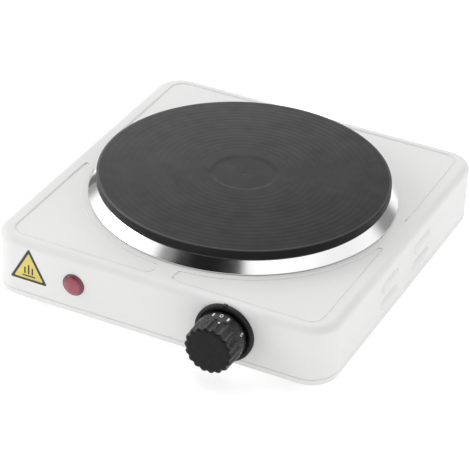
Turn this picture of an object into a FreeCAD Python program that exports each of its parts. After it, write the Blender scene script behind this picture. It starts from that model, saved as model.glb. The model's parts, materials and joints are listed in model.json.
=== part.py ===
"""A portable electric hot plate with one cast iron burner, in millimetres.

+X is to the right as the user faces the control knob, +Y runs from the front to the back and
+Z is up. The origin is on the surface that the feet stand on, at the middle of the footprint.
"""
import FreeCAD, Part
import math
import os
import re

import Sketcher

# ----------------------------------------------------------------------------- driving sizes

SIZES = {
    # casing
    "body_width": 228.0,
    "body_depth": 239.0,
    "body_height": 40.7,        # from the underside of the base pan to the housing's top
    "body_corner": 18.3,        # vertical corners, seen from above
    "top_round": 5.0,           # rounding along the top edge
    "wall": 0.8,                # sheet steel
    "seam_height": 4.4,         # top of the pan's rim, above the pan's underside
    "seam_gap": 0.6,
    "skirt_inset": 0.9,         # the housing's skirt stands inside the pan's rim
    "foot_height": 8.0,
    "foot_radius": 9.0,
    "foot_inset": 26.0,         # foot centre, in from both edges
    "foot_bore": 2.4,
    "foot_recess": 5.0,         # radius of the recess for the screw's head
    "foot_recess_top": 4.2,
    "foot_screw_radius": 2.0,
    "foot_screw_head": 4.0,
    "foot_screw_slot": 1.0,
    "corner_bracket_width": 16.0,
    "corner_bracket_height": 14.0,
    "corner_bracket_skin": 1.5,
    "vent_count": 7.0,          # slots in each of the base pan's two rows
    "vent_pitch": 14.0,
    "vent_width": 4.0,
    "vent_length": 42.0,
    "vent_front": -58.0,        # middles of the rows, from the middle of the body
    "vent_rear": 50.0,
    "knob_reach": 23.7,         # how far the knob stands out of the front
    "gland_reach": 4.0,         # how far the cord gland stands out of the back
    # pressed panels in the housing's top
    "panel_depth": 0.5,
    "panel_half_width": 103.5,
    "panel_half_depth": 111.5,
    "panel_corner": 14.0,
    "panel_ring": 102.5,        # inner edge, round the burner
    "rib_half_width": 7.0,      # flat rib left at the front and the back
    "side_rib_half_width": 18.5,
    # louvres in both sides
    "louvre_length": 28.0,
    "louvre_height": 5.5,
    "louvre_reach": 1.5,
    "louvre_skin": 0.7,
    "louvre_low": 14.4,         # heights above the pan's underside
    "louvre_high": 26.7,
    "louvre_front": -26.0,      # middles, from the middle of the body
    "louvre_rear": 25.0,
    # burner
    "plate_shift": 1.5,         # the burner sits behind the middle of the body
    "plate_radius": 93.3,
    "plate_rise": 14.1,         # cooking surface above the housing's top
    "plate_edge": 6.5,          # height of the plate's rim
    "plate_chamfer": 1.0,
    "hub_radius": 86.0,
    "hub_depth": 14.3,
    "stud_hole_roof": 9.0,      # blind end of the stud's hole, below the cooking surface
    "hub_step_outer": 28.0,
    "hub_step_inner": 24.0,
    "boss_radius": 12.0,
    "boss_floor": 12.0,
    "dimple_radius": 21.7,
    "dimple_depth": 1.6,
    "channel_width": 12.0,
    "channel_depth": 8.0,
    "channel_inner": 40.0,      # middle radii of the three heating channels
    "channel_middle": 56.0,
    "channel_outer": 72.0,
    "coil_radius": 2.4,
    "coil_slot": 2.6,
    "coil_sweep": 345.0,
    "opening_radius": 90.0,
    "trim_base_radius": 98.4,
    "trim_top_radius": 91.4,
    "trim_flange_radius": 87.0,
    "trim_skin": 0.7,
    "stud_radius": 4.0,
    "nut_radius": 7.5,
    "nut_height": 5.0,
    "washer_radius": 9.0,
    "washer_skin": 1.6,
    # sheet parts below the burner
    "cover_radius": 83.0,
    "shield_radius": 84.0,
    "shield_level": 22.0,       # above the pan's underside
    "bar_width": 20.0,
    "bar_skin": 2.0,
    "bar_leg": 94.0,            # where the clamp bar turns up
    "bar_end": 104.0,
    "rivet_radius": 2.0,
    "rivet_span": 30.0,
    # element terminals
    "terminal_behind": 50.0,    # from the burner's axis towards the back
    "terminal_width": 34.0,
    "terminal_depth": 12.0,
    "terminal_height": 9.7,
    "pin_radius": 1.5,
    "pin_pitch": 8.0,
    "pin_tip": 16.0,            # lower end, above the pan's underside
    # thermostat
    "knob_side": 47.8,
    "knob_level": 21.2,
    "bracket_width": 56.0,
    "bracket_height": 24.0,
    "bracket_skin": 1.5,
    "fixing_offset": 12.5,
    "bush_radius": 5.0,
    "bush_length": 12.5,
    "spindle_radius": 3.0,
    "spindle_flat": 2.2,
    "running_gap": 0.05,
    "stack_offset": 20.0,       # the leaf stack's axis beside the spindle
    "stack_radius": 4.5,
    "blade_width": 7.0,
    "blade_skin": 0.4,
    "blade_length": 34.0,
    "tab_length": 16.0,
    "moving_level": 12.6,       # distances behind the front panel
    "fixed_level": 16.6,
    "bimetal_level": 21.0,
    "contact_offset": 12.0,
    # knob and bezel
    "knob_radius": 16.1,
    "grip_radius": 15.7,
    "grip_length": 14.0,
    "knob_wall": 1.6,
    "knob_gap": 1.0,
    "flute_radius": 1.5,
    "flute_circle": 16.7,
    "flute_count": 18.0,
    "bezel_radius": 19.0,
    "bezel_rise": 3.0,
    "nib_reach": 19.8,
    # pilot lamp
    "lamp_side": 54.7,
    "lamp_level": 20.8,
    "lens_radius": 7.3,
    "lens_rise": 2.6,
    "lamp_radius": 6.2,
    "lamp_length": 22.0,
    "bulb_radius": 2.6,
    # mains side
    "gland_side": 45.0,
    "gland_level": 20.0,
    "gland_bore": 3.75,
    "gland_flange": 9.0,
    "gland_neck": 6.5,
    "block_side": 5.0,
    "block_behind": 101.0,
    "block_width": 34.0,
    "block_depth": 16.0,
    "block_height": 14.0,
    "insert_pitch": 9.0,
    "insert_width": 5.2,
    "insert_height": 9.0,
    "wire_bore": 1.7,
    "clamp_screw_radius": 1.4,
    "wire_radius": 1.1,
    "earth_side": 32.0,
    "label_skin": 0.15,
    "label_left": -99.0,        # corners before rounding; heights above the pan's underside
    "label_right": -73.2,
    "label_foot": 13.4,
    "label_apex_side": -86.3,
    "label_apex": 36.2,
    "label_corner": 2.0,
}

FUNCTIONS = {"sqrt", "cos", "sin"}

# Places that several pieces share, as formulas of the sizes above.
CENTRE_Y = "(knob_reach - gland_reach) / 2"
FRONT = f"({CENTRE_Y} - body_depth / 2)"
REAR = f"({CENTRE_Y} + body_depth / 2)"
PANEL_BACK = f"({FRONT} + wall)"
BURNER_Y = f"({CENTRE_Y} + plate_shift)"
PAN_FLOOR = "(foot_height + wall)"
SEAM = "(foot_height + seam_height + seam_gap)"
TOP = "(foot_height + body_height)"
CEILING = f"({TOP} - wall)"
PLATE_TOP = f"({TOP} + plate_rise)"
PLATE_STEP = f"({PLATE_TOP} - plate_edge)"
HUB_FACE = f"({PLATE_STEP} - hub_depth)"
COVER_FACE = f"({HUB_FACE} - wall)"
SHIELD = "(foot_height + shield_level)"
BAR_FACE = f"({SHIELD} - bar_skin)"
KNOB_Z = "(foot_height + knob_level)"
STACK_X = "(knob_side - stack_offset)"
BEZEL_FACE = f"({FRONT} - bezel_rise)"
KNOB_FRONT = f"({FRONT} - knob_reach)"
KNOB_LENGTH = "(knob_reach - bezel_rise - knob_gap)"
LAMP_Z = "(foot_height + lamp_level)"
GLAND_Z = "(foot_height + gland_level)"
TERMINAL_Y = f"({BURNER_Y} + terminal_behind)"
BLOCK_Y = f"({CENTRE_Y} + block_behind)"

AXES = {
    "X": FreeCAD.Rotation(FreeCAD.Vector(0, 1, 0), 90),
    "Y": FreeCAD.Rotation(FreeCAD.Vector(1, 0, 0), -90),
    "Z": FreeCAD.Rotation(),
}

doc = FreeCAD.newDocument("hot_plate")
sheet = doc.addObject("Spreadsheet::Sheet", "dims")
pieces = []


# ------------------------------------------------------------------------- general functions

def fill_sheet():
    for row, (alias, number) in enumerate(SIZES.items(), start=1):
        sheet.set(f"A{row}", alias)
        sheet.set(f"B{row}", str(number))
        sheet.setAlias(f"B{row}", alias)
    doc.recompute()


def formula(text):
    """A formula in which each plain word is read from the sheet."""
    def cell(match):
        word = match.group()
        return word if word in FUNCTIONS else f"dims.{word}"
    return re.sub(r"[a-z][a-z_]+", cell, str(text))


def bind(item, **sizes):
    for name, text in sizes.items():
        item.setExpression(name, formula(text))


def place(item, x, y, z, turn=None):
    if turn is not None:
        item.Placement = FreeCAD.Placement(FreeCAD.Vector(), turn)
    for letter, text in zip("xyz", (x, y, z)):
        item.setExpression(f"Placement.Base.{letter}", formula(text))


def piece(label, item):
    """Names a finished sub-part; the name is also its file's."""
    item.Label = label
    pieces.append(item)
    return item


def box(name, low, size):
    item = doc.addObject("Part::Box", name)
    bind(item, Length=size[0], Width=size[1], Height=size[2])
    place(item, *low)
    return item


def slab(name, middle, bottom, size):
    """A box given by its middle in plan and its underside."""
    low = (f"{middle[0]} - ({size[0]}) / 2", f"{middle[1]} - ({size[1]}) / 2", bottom)
    return box(name, low, size)


def cylinder(name, start, radius, length, axis="Z"):
    item = doc.addObject("Part::Cylinder", name)
    bind(item, Radius=radius, Height=length)
    place(item, *start, turn=AXES[axis])
    return item


def hexagon(name, start, radius, length):
    item = doc.addObject("Part::Prism", name)
    item.Polygon = 6
    bind(item, Circumradius=radius, Height=length)
    place(item, *start)
    return item


def fuse(name, *items):
    item = doc.addObject("Part::MultiFuse", name)
    item.Shapes = list(items)
    return item


def group(name, *items):
    """Separate solids that share one node."""
    item = doc.addObject("Part::Compound", name)
    item.Links = list(items)
    return item


def cut(name, base, *tools):
    item = doc.addObject("Part::Cut", name)
    item.Base = base
    item.Tool = tools[0] if len(tools) == 1 else fuse(f"{name}_tools", *tools)
    return item


def ring(name, start, outer, inner, length, axis="Z"):
    body = cylinder(f"{name}_outside", start, outer, length, axis)
    hole = cylinder(f"{name}_bore", start, inner, length, axis)
    return cut(name, body, hole)


def outline(body, plane, points):
    """A closed sketch of straight lines through points given as formulas."""
    sketch = body.newObject("Sketcher::SketchObject", f"{body.Name}_outline")
    planes = {feature.Role: feature for feature in body.Origin.OriginFeatures}
    sketch.AttachmentSupport = [(planes[plane], "")]
    sketch.MapMode = "FlatFace"
    count = len(points)
    start = [
        FreeCAD.Vector(math.cos(2 * math.pi * i / count), math.sin(2 * math.pi * i / count), 0)
        for i in range(count)
    ]
    for i in range(count):
        sketch.addGeometry(Part.LineSegment(start[i], start[(i + 1) % count]), False)
    for i in range(count):
        sketch.addConstraint(Sketcher.Constraint("Coincident", i, 2, (i + 1) % count, 1))
    for i, point in enumerate(points):
        for kind, text in zip(("DistanceX", "DistanceY"), point):
            number = getattr(start[i], kind[-1].lower())
            index = sketch.addConstraint(Sketcher.Constraint(kind, -1, 1, i, 1, number))
            sketch.setExpression(f"Constraints[{index}]", formula(text))
    return sketch


def turned(name, plane, points, x, y, z):
    """A PartDesign body turned about the vertical axis of its sketch.

    On the XZ plane the axis is Z, on the XY plane it is Y.
    """
    body = doc.addObject("PartDesign::Body", name)
    sketch = outline(body, plane, points)
    turn = body.newObject("PartDesign::Revolution", f"{name}_turn")
    turn.Profile = sketch
    turn.ReferenceAxis = (sketch, ["V_Axis"])
    turn.Angle = 360
    place(body, x, y, z)
    doc.recompute()
    return body


def round_edges(body, name, radius, wanted):
    """Adds a fillet to the body's edges that the test wanted(edge) picks."""
    base = body.Tip
    names = [f"Edge{i}" for i, edge in enumerate(base.Shape.Edges, start=1) if wanted(edge)]
    fillet = body.newObject("PartDesign::Fillet", name)
    fillet.Base = (base, names)
    fillet.setExpression("Radius", formula(radius))
    doc.recompute()


def is_upright(edge):
    return abs(edge.BoundBox.ZLength - edge.Length) < 1e-6


def rounded_block(name, width, depth, corner, bottom, top, lip=None):
    """A block round the body's middle, with rounded corners and, with lip, a rounded top."""
    body = doc.addObject("PartDesign::Body", name)
    half_x = f"({width}) / 2"
    half_y = f"({depth}) / 2"
    corners = [
        (f"-{half_x}", f"-{half_y}"),
        (half_x, f"-{half_y}"),
        (half_x, half_y),
        (f"-{half_x}", half_y),
    ]
    sketch = outline(body, "XY_Plane", corners)
    pad = body.newObject("PartDesign::Pad", f"{name}_pad")
    pad.Profile = sketch
    pad.setExpression("Length", formula(f"({top}) - ({bottom})"))
    doc.recompute()
    round_edges(body, f"{name}_corners", corner, is_upright)
    if lip is not None:
        level = body.Tip.Shape.BoundBox.ZMax
        round_edges(body, f"{name}_lip", lip, lambda edge: edge.BoundBox.ZMin > level - 1e-6)
    place(body, "0", CENTRE_Y, bottom)
    return body


# ------------------------------------------------------------------------------------ casing

def inset_block(name, inset, bottom, top, lip=None):
    """A block of the casing's outline, moved in by inset."""
    return rounded_block(
        name,
        f"body_width - 2 * ({inset})",
        f"body_depth - 2 * ({inset})",
        f"body_corner - ({inset})",
        bottom,
        top,
        lip,
    )


def corner_panels(name, grow, bottom, top):
    """The four pressed panels as blocks, grown outwards by grow."""
    block = rounded_block(
        f"{name}_block",
        f"2 * panel_half_width + 2 * {grow}",
        f"2 * panel_half_depth + 2 * {grow}",
        f"panel_corner + {grow}",
        bottom,
        top,
    )
    height = f"({top}) - ({bottom})"
    middle = cylinder(f"{name}_middle", ("0", BURNER_Y, bottom), f"panel_ring - {grow}", height)
    rib = slab(
        f"{name}_rib",
        ("0", CENTRE_Y),
        bottom,
        (f"2 * rib_half_width - 2 * {grow}", "body_depth", height),
    )
    side_rib = slab(
        f"{name}_side_rib",
        ("0", BURNER_Y),
        bottom,
        ("body_width", f"2 * side_rib_half_width - 2 * {grow}", height),
    )
    return cut(name, block, middle, rib, side_rib)


def louvre(name, side, along, level):
    """One hood and the space inside it, on the right (side 1) or the left (side -1)."""
    solids = []
    for kind, thickness in (("hood", "0"), ("space", "louvre_skin")):
        wedge = doc.addObject("Part::Wedge", f"{name}_{kind}")
        inner = "wall * 0.5" if kind == "hood" else "wall * 2"
        bind(
            wedge,
            Xmin=f"-{inner}",
            Xmax=f"louvre_reach - {thickness}",
            X2min=f"-{inner}",
            X2max=f"0.02 - {thickness}",
            Ymin="0",
            Ymax=f"louvre_height - {thickness}",
            Zmin=thickness,
            Zmax=f"louvre_length - {thickness}",
            Z2min=thickness,
            Z2max=f"louvre_length - {thickness}",
        )
        # The wedge's own Y stands up; its X points away from the casing.
        upright = FreeCAD.Rotation(FreeCAD.Vector(1, 0, 0), 90)
        if side < 0:
            upright = FreeCAD.Rotation(FreeCAD.Vector(0, 0, 1), 180).multiply(upright)
        # Turned upright, the wedge runs from its corner towards the front on the right side.
        shift = f"{side} * louvre_length / 2"
        place(
            wedge,
            f"{side} * body_width / 2",
            f"{CENTRE_Y} + {along} + {shift}",
            f"foot_height + {level} - louvre_height / 2",
            turn=upright,
        )
        solids.append(wedge)
    return solids


def make_housing():
    shell = cut(
        "housing_shell",
        inset_block("housing_outside", "0", SEAM, TOP, "top_round"),
        inset_block("housing_inside", "wall", SEAM, CEILING, "top_round - wall"),
    )
    skirt = cut(
        "housing_skirt",
        inset_block("skirt_outside", "skirt_inset", f"{PAN_FLOOR} + 0.2", f"{SEAM} + wall"),
        inset_block("skirt_inside", "skirt_inset + wall", f"{PAN_FLOOR} + 0.2", f"{SEAM} + wall"),
    )
    shelf = cut(
        "housing_shelf",
        inset_block("shelf_outside", "0.5 * wall", SEAM, f"{SEAM} + wall"),
        inset_block("shelf_inside", "skirt_inset + 0.5 * wall", SEAM, f"{SEAM} + wall"),
    )
    backing = corner_panels("panel_backing", "wall", f"{CEILING} - panel_depth", f"{CEILING} + 0.1")
    hoods = []
    spaces = []
    for side in (1, -1):
        for row in ("louvre_low", "louvre_high"):
            for along in ("louvre_front", "louvre_rear"):
                name = f"louvre_{'right' if side > 0 else 'left'}_{row[8:]}_{along[8:]}"
                hood, space = louvre(name, side, along, row)
                hoods.append(hood)
                spaces.append(space)
    solid = fuse("housing_solid", shell, skirt, shelf, backing, *hoods)
    through = f"({FRONT} - 1)"
    holes = [
        corner_panels("panel_recess", "0", f"{TOP} - panel_depth", f"{TOP} + 1"),
        cylinder("burner_opening", ("0", BURNER_Y, CEILING + " - 1"), "opening_radius", "5"),
        cylinder("lamp_hole", ("-lamp_side", through, LAMP_Z), "lamp_radius + 0.1", "5", "Y"),
        cylinder("bush_hole", ("knob_side", through, KNOB_Z), "bush_radius + 0.2", "5", "Y"),
        cylinder("gland_hole", ("gland_side", f"{REAR} - 4", GLAND_Z), "gland_neck", "8", "Y"),
    ]
    for side in (-1, 1):
        start = (f"knob_side + {side} * fixing_offset", through, KNOB_Z)
        holes.append(cylinder(f"fixing_hole_{side + 2}", start, "1.8", "5", "Y"))
    piece("housing", cut("housing", solid, *holes, *spaces))


def foot_places():
    """Label and middle of each foot."""
    for row, end, sign in (("front", FRONT, "+"), ("rear", REAR, "-")):
        for column, side in (("left", -1), ("right", 1)):
            x = f"{side} * (body_width / 2 - foot_inset)"
            yield f"{row}_{column}", side, x, f"{end} {sign} foot_inset"


def make_base_pan():
    rim_top = "(foot_height + seam_height)"
    tray = cut(
        "pan_tray",
        inset_block("pan_outside", "0", "foot_height", rim_top),
        inset_block("pan_inside", "wall", PAN_FLOOR, rim_top),
    )
    holes = []
    for name, _, x, y in foot_places():
        holes.append(cylinder(f"pan_hole_{name}", (x, y, "foot_height - 1"), "2.3", "4"))
    holes.append(cylinder("earth_hole", ("earth_side", BLOCK_Y, "foot_height - 1"), "2.05", "4"))
    vent_size = ("vent_width", "vent_length", "4")
    count = int(SIZES["vent_count"])
    for row in ("vent_front", "vent_rear"):
        for i in range(count):
            middle = (f"{i - (count - 1) / 2} * vent_pitch", f"{CENTRE_Y} + {row}")
            holes.append(slab(f"pan_{row}_{i}", middle, "foot_height - 1", vent_size))
    piece("base_pan", cut("base_pan", tray, *holes))


def make_feet():
    foot_profile = [
        ("foot_bore", "foot_height"),
        ("foot_bore", "foot_recess_top"),
        ("foot_recess", "foot_recess_top"),
        ("foot_recess", "0"),
        ("foot_radius - 1", "0"),
        ("foot_radius", "1"),
        ("foot_radius - 0.6", "foot_height"),
    ]
    screws = []
    brackets = []
    for name, side, x, y in foot_places():
        piece(f"foot_{name}", turned(f"foot_{name}", "XZ_Plane", foot_profile, x, y, "0"))
        head_low = "(foot_recess_top - 2.4)"
        head = cylinder(f"foot_screw_head_{name}", (x, y, head_low), "foot_screw_head", "2.4")
        shank = cylinder(f"foot_screw_shank_{name}", (x, y, "4"), "foot_screw_radius", "10")
        slot_size = ("1.5 * foot_screw_head", "foot_screw_slot", "foot_screw_slot")
        slot = slab(f"foot_screw_slot_{name}", (x, y), f"{head_low} - 0.1", slot_size)
        screws.append(cut(f"foot_screw_{name}", fuse(f"foot_screw_blank_{name}", head, shank), slot))
        # The bracket's leg stands on the skirt's inner face.
        wall_face = "(body_width / 2 - skirt_inset - wall)"
        half = "corner_bracket_width / 2"
        skin = "corner_bracket_skin"
        if side > 0:
            low = f"{x} - {half}"
            leg_low = f"{wall_face} - {skin}"
        else:
            low = f"-{wall_face}"
            leg_low = low
        length = f"{wall_face} - (body_width / 2 - foot_inset) + {half}"
        flat_size = (length, "corner_bracket_width", skin)
        flat = box(f"bracket_flat_{name}", (low, f"{y} - {half}", PAN_FLOOR), flat_size)
        leg_size = (skin, "corner_bracket_width", "corner_bracket_height")
        leg = box(f"bracket_leg_{name}", (leg_low, f"{y} - {half}", PAN_FLOOR), leg_size)
        bore = "foot_screw_radius + 0.05"
        hole = cylinder(f"bracket_hole_{name}", (x, y, PAN_FLOOR), bore, "3")
        brackets.append(cut(f"bracket_{name}", fuse(f"bracket_blank_{name}", flat, leg), hole))
    piece("foot_screws", group("foot_screws", *screws))
    piece("corner_brackets", group("corner_brackets", *brackets))


# ------------------------------------------------------------------------------------ burner

def make_hotplate():
    """The casting: a dimple in the cooking surface and three channels underneath."""
    depth = "plate_edge + hub_depth"
    half = "channel_width / 2"
    roof = f"-({depth}) + channel_depth"
    floor = f"-({depth})"
    profile = [("stud_radius", "-stud_hole_roof"), ("0", "-stud_hole_roof"), ("0", "-dimple_depth")]
    profile += [("dimple_radius - 1", "-dimple_depth"), ("dimple_radius", "0")]
    profile += [("plate_radius - plate_chamfer", "0"), ("plate_radius", "-plate_chamfer")]
    profile += [("plate_radius", "-plate_edge"), ("hub_radius", "-plate_edge"), ("hub_radius", floor)]
    for channel in ("channel_outer", "channel_middle", "channel_inner"):
        profile += [(f"{channel} + {half}", floor), (f"{channel} + {half}", roof)]
        profile += [(f"{channel} - {half}", roof), (f"{channel} - {half}", floor)]
    profile += [("hub_step_outer", floor), ("hub_step_inner", "-boss_floor")]
    profile += [("boss_radius", "-boss_floor"), ("boss_radius", floor), ("stud_radius", floor)]
    plate = turned("hotplate", "XZ_Plane", profile, "0", BURNER_Y, PLATE_TOP)
    piece("hotplate", plate)


def make_heating():
    cement = []
    for name in ("inner", "middle", "outer"):
        radius = f"channel_{name}"
        band = ring(
            f"cement_band_{name}",
            ("0", BURNER_Y, HUB_FACE),
            f"{radius} + channel_width / 2",
            f"{radius} - channel_width / 2",
            "channel_depth",
        )
        slot = ring(
            f"cement_slot_{name}",
            ("0", BURNER_Y, HUB_FACE),
            f"{radius} + coil_slot",
            f"{radius} - coil_slot",
            "2 * coil_slot",
        )
        cement.append(cut(f"cement_{name}", band, slot))
        coil = doc.addObject("Part::Torus", f"heating_coil_{name}")
        bind(coil, Radius1=radius, Radius2="coil_radius", Angle3="coil_sweep")
        place(coil, "0", BURNER_Y, f"{HUB_FACE} + coil_slot")
        piece(f"heating_coil_{name}", coil)
    piece("embedding_cement", group("embedding_cement", *cement))


def make_trim_ring():
    """The polished ring: a flange under the plate's rim and a slope out to the housing."""
    rise = "(plate_rise - plate_edge)"
    profile = [
        ("trim_flange_radius", rise),
        ("trim_flange_radius", f"{rise} - trim_skin"),
        ("trim_top_radius - 0.4", f"{rise} - trim_skin"),
        ("trim_base_radius - 1", "0.5"),
        ("trim_base_radius - 1", "0"),
        ("trim_base_radius", "0"),
        ("trim_base_radius", "0.8"),
        ("trim_top_radius", rise),
    ]
    piece("trim_ring", turned("trim_ring", "XZ_Plane", profile, "0", BURNER_Y, TOP))


def make_burner_fixings():
    axis = ("0", BURNER_Y)
    window = ("terminal_width + 2", "terminal_depth + 2", "4")
    cover = cut(
        "plate_cover",
        cylinder("cover_disc", (*axis, COVER_FACE), "cover_radius", "wall"),
        cylinder("cover_hole", (*axis, f"{COVER_FACE} - 1"), "stud_radius + 0.3", "4"),
        slab("cover_window", ("0", TERMINAL_Y), f"{COVER_FACE} - 1", window),
    )
    piece("plate_cover", cover)

    stud_foot = f"({BAR_FACE} - 8.5)"
    stud_length = f"{PLATE_TOP} - stud_hole_roof - 0.1 - {stud_foot}"
    stud = cylinder("centre_stud", (*axis, stud_foot), "stud_radius", stud_length)
    piece("centre_stud", stud)
    upper_nut = hexagon("cover_nut_blank", (*axis, f"{COVER_FACE} - nut_height"), "nut_radius", "nut_height")
    upper_hole = cylinder("cover_nut_hole", (*axis, f"{COVER_FACE} - 6"), "stud_radius + 0.02", "8")
    piece("cover_nut", cut("cover_nut", upper_nut, upper_hole))

    leg_height = f"{CEILING} - {BAR_FACE}"
    strap = slab("bar_strap", axis, BAR_FACE, ("2 * bar_leg", "bar_width", "bar_skin"))
    parts = [strap]
    for side in (-1, 1):
        leg_x = f"{side} * (bar_leg - bar_skin / 2)"
        end_x = f"{side} * (bar_leg / 2 + bar_end / 2 - bar_skin / 2)"
        parts.append(
            slab(f"bar_leg_{side + 2}", (leg_x, BURNER_Y), BAR_FACE, ("bar_skin", "bar_width", leg_height))
        )
        end_size = ("bar_end - bar_leg + bar_skin", "bar_width", "bar_skin")
        parts.append(slab(f"bar_end_{side + 2}", (end_x, BURNER_Y), f"{CEILING} - bar_skin", end_size))
    bar_holes = [cylinder("bar_hole", (*axis, f"{BAR_FACE} - 1"), "stud_radius + 0.3", "6")]
    shield_holes = [cylinder("shield_hole", (*axis, f"{SHIELD} - 1"), "stud_radius + 0.3", "4")]
    rivets = []
    for side in (-1, 1):
        spot = (f"{side} * rivet_span", BURNER_Y)
        name = side + 2
        shank_length = "bar_skin + wall"
        shank = cylinder(f"rivet_shank_{name}", (*spot, BAR_FACE), "rivet_radius", shank_length)
        low_head = cylinder(f"rivet_low_{name}", (*spot, f"{BAR_FACE} - 1"), "2 * rivet_radius", "1")
        high_head = cylinder(f"rivet_high_{name}", (*spot, f"{SHIELD} + wall"), "2 * rivet_radius", "1")
        rivets.append(fuse(f"shield_rivet_{name}", shank, low_head, high_head))
        bore = "rivet_radius + 0.05"
        bar_holes.append(cylinder(f"bar_rivet_{name}", (*spot, f"{BAR_FACE} - 1"), bore, "6"))
        shield_holes.append(cylinder(f"shield_rivet_hole_{name}", (*spot, f"{SHIELD} - 1"), bore, "4"))
    piece("clamp_bar", cut("clamp_bar", fuse("bar_blank", *parts), *bar_holes))
    piece("shield_rivets", group("shield_rivets", *rivets))
    shield_holes.append(slab("shield_window", ("0", TERMINAL_Y), f"{SHIELD} - 1", window))
    disc = cylinder("shield_disc", (*axis, SHIELD), "shield_radius", "wall")
    piece("heat_shield", cut("heat_shield", disc, *shield_holes))

    washer_low = f"{BAR_FACE} - washer_skin"
    washer = ring("stud_washer", (*axis, washer_low), "washer_radius", "stud_radius + 0.3", "washer_skin")
    piece("stud_washer", washer)
    nut_low = f"({washer_low} - nut_height)"
    nut = hexagon("stud_nut_blank", (*axis, nut_low), "nut_radius", "nut_height")
    nut_hole = cylinder("stud_nut_hole", (*axis, f"{nut_low} - 1"), "stud_radius + 0.02", "8")
    piece("stud_nut", cut("stud_nut", nut, nut_hole))


def make_element_terminals():
    pins = []
    bores = []
    pin_low = "(foot_height + pin_tip)"
    base = f"({HUB_FACE} - terminal_height)"
    for i in range(4):
        x = f"{i - 1.5} * pin_pitch"
        length = f"{HUB_FACE} - 0.2 - {pin_low}"
        pins.append(cylinder(f"terminal_pin_{i}", (x, TERMINAL_Y, pin_low), "pin_radius", length))
        bore = "pin_radius + 0.05"
        bores.append(cylinder(f"terminal_bore_{i}", (x, TERMINAL_Y, f"{base} - 1"), bore, "20"))
    size = ("terminal_width", "terminal_depth", "terminal_height")
    body = slab("terminal_ceramic_blank", ("0", TERMINAL_Y), base, size)
    piece("terminal_ceramic", cut("terminal_ceramic", body, *bores))
    piece("terminal_pins", group("terminal_pins", *pins))


# -------------------------------------------------------------------------------- thermostat

def behind(distance):
    """A distance behind the front panel's inner face, as a Y formula."""
    return f"{PANEL_BACK} + {distance}"


def make_thermostat_frame():
    low = ("knob_side - bracket_width / 2 - 2", PANEL_BACK, f"{KNOB_Z} - bracket_height / 2")
    blank = box("bracket_blank", low, ("bracket_width", "bracket_skin", "bracket_height"))
    holes = [
        cylinder("bracket_bush_hole", ("knob_side", PANEL_BACK, KNOB_Z), "bush_radius", "5", "Y"),
        cylinder("bracket_rivet_hole", (STACK_X, PANEL_BACK, KNOB_Z), "1.55", "5", "Y"),
    ]
    screws = []
    for side in (-1, 1):
        name = side + 2
        x = f"knob_side + {side} * fixing_offset"
        holes.append(cylinder(f"bracket_fixing_{name}", (x, PANEL_BACK, KNOB_Z), "1.55", "5", "Y"))
        head = cylinder(f"fixing_head_{name}", (x, f"{FRONT} - 1.4", KNOB_Z), "2.8", "1.4", "Y")
        shank = cylinder(f"fixing_shank_{name}", (x, FRONT, KNOB_Z), "1.5", "6", "Y")
        screws.append(fuse(f"thermostat_screw_{name}", head, shank))
    piece("thermostat_bracket", cut("thermostat_bracket", blank, *holes))
    piece("thermostat_screws", group("thermostat_screws", *screws))
    bush = ring(
        "thermostat_bush",
        ("knob_side", f"{FRONT} - 2", KNOB_Z),
        "bush_radius",
        "spindle_radius + running_gap",
        "bush_length",
        "Y",
    )
    piece("thermostat_bush", bush)
    start = f"({KNOB_FRONT} + 3)"
    rod_length = f"{behind(12)} - {start}"
    rod = cylinder("spindle_rod", ("knob_side", start, KNOB_Z), "spindle_radius", rod_length, "Y")
    flat_low = ("knob_side - 5", f"{start} - 1", f"{KNOB_Z} + spindle_flat")
    flat = box("spindle_flat_tool", flat_low, ("10", "12", "5"))
    piece("thermostat_spindle", cut("thermostat_spindle", rod, flat))


def leaf(name, level, start, length, bore):
    """A leaf across the spindle's line: start is measured from the stack's axis."""
    low = (f"{STACK_X} {start}", behind(level), f"{KNOB_Z} - blade_width / 2")
    blank = box(f"{name}_blank", low, (length, "blade_skin", "blade_width"))
    hole = cylinder(f"{name}_hole", (STACK_X, f"{behind(level)} - 1", KNOB_Z), bore, "3", "Y")
    return cut(name, blank, hole)


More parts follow.
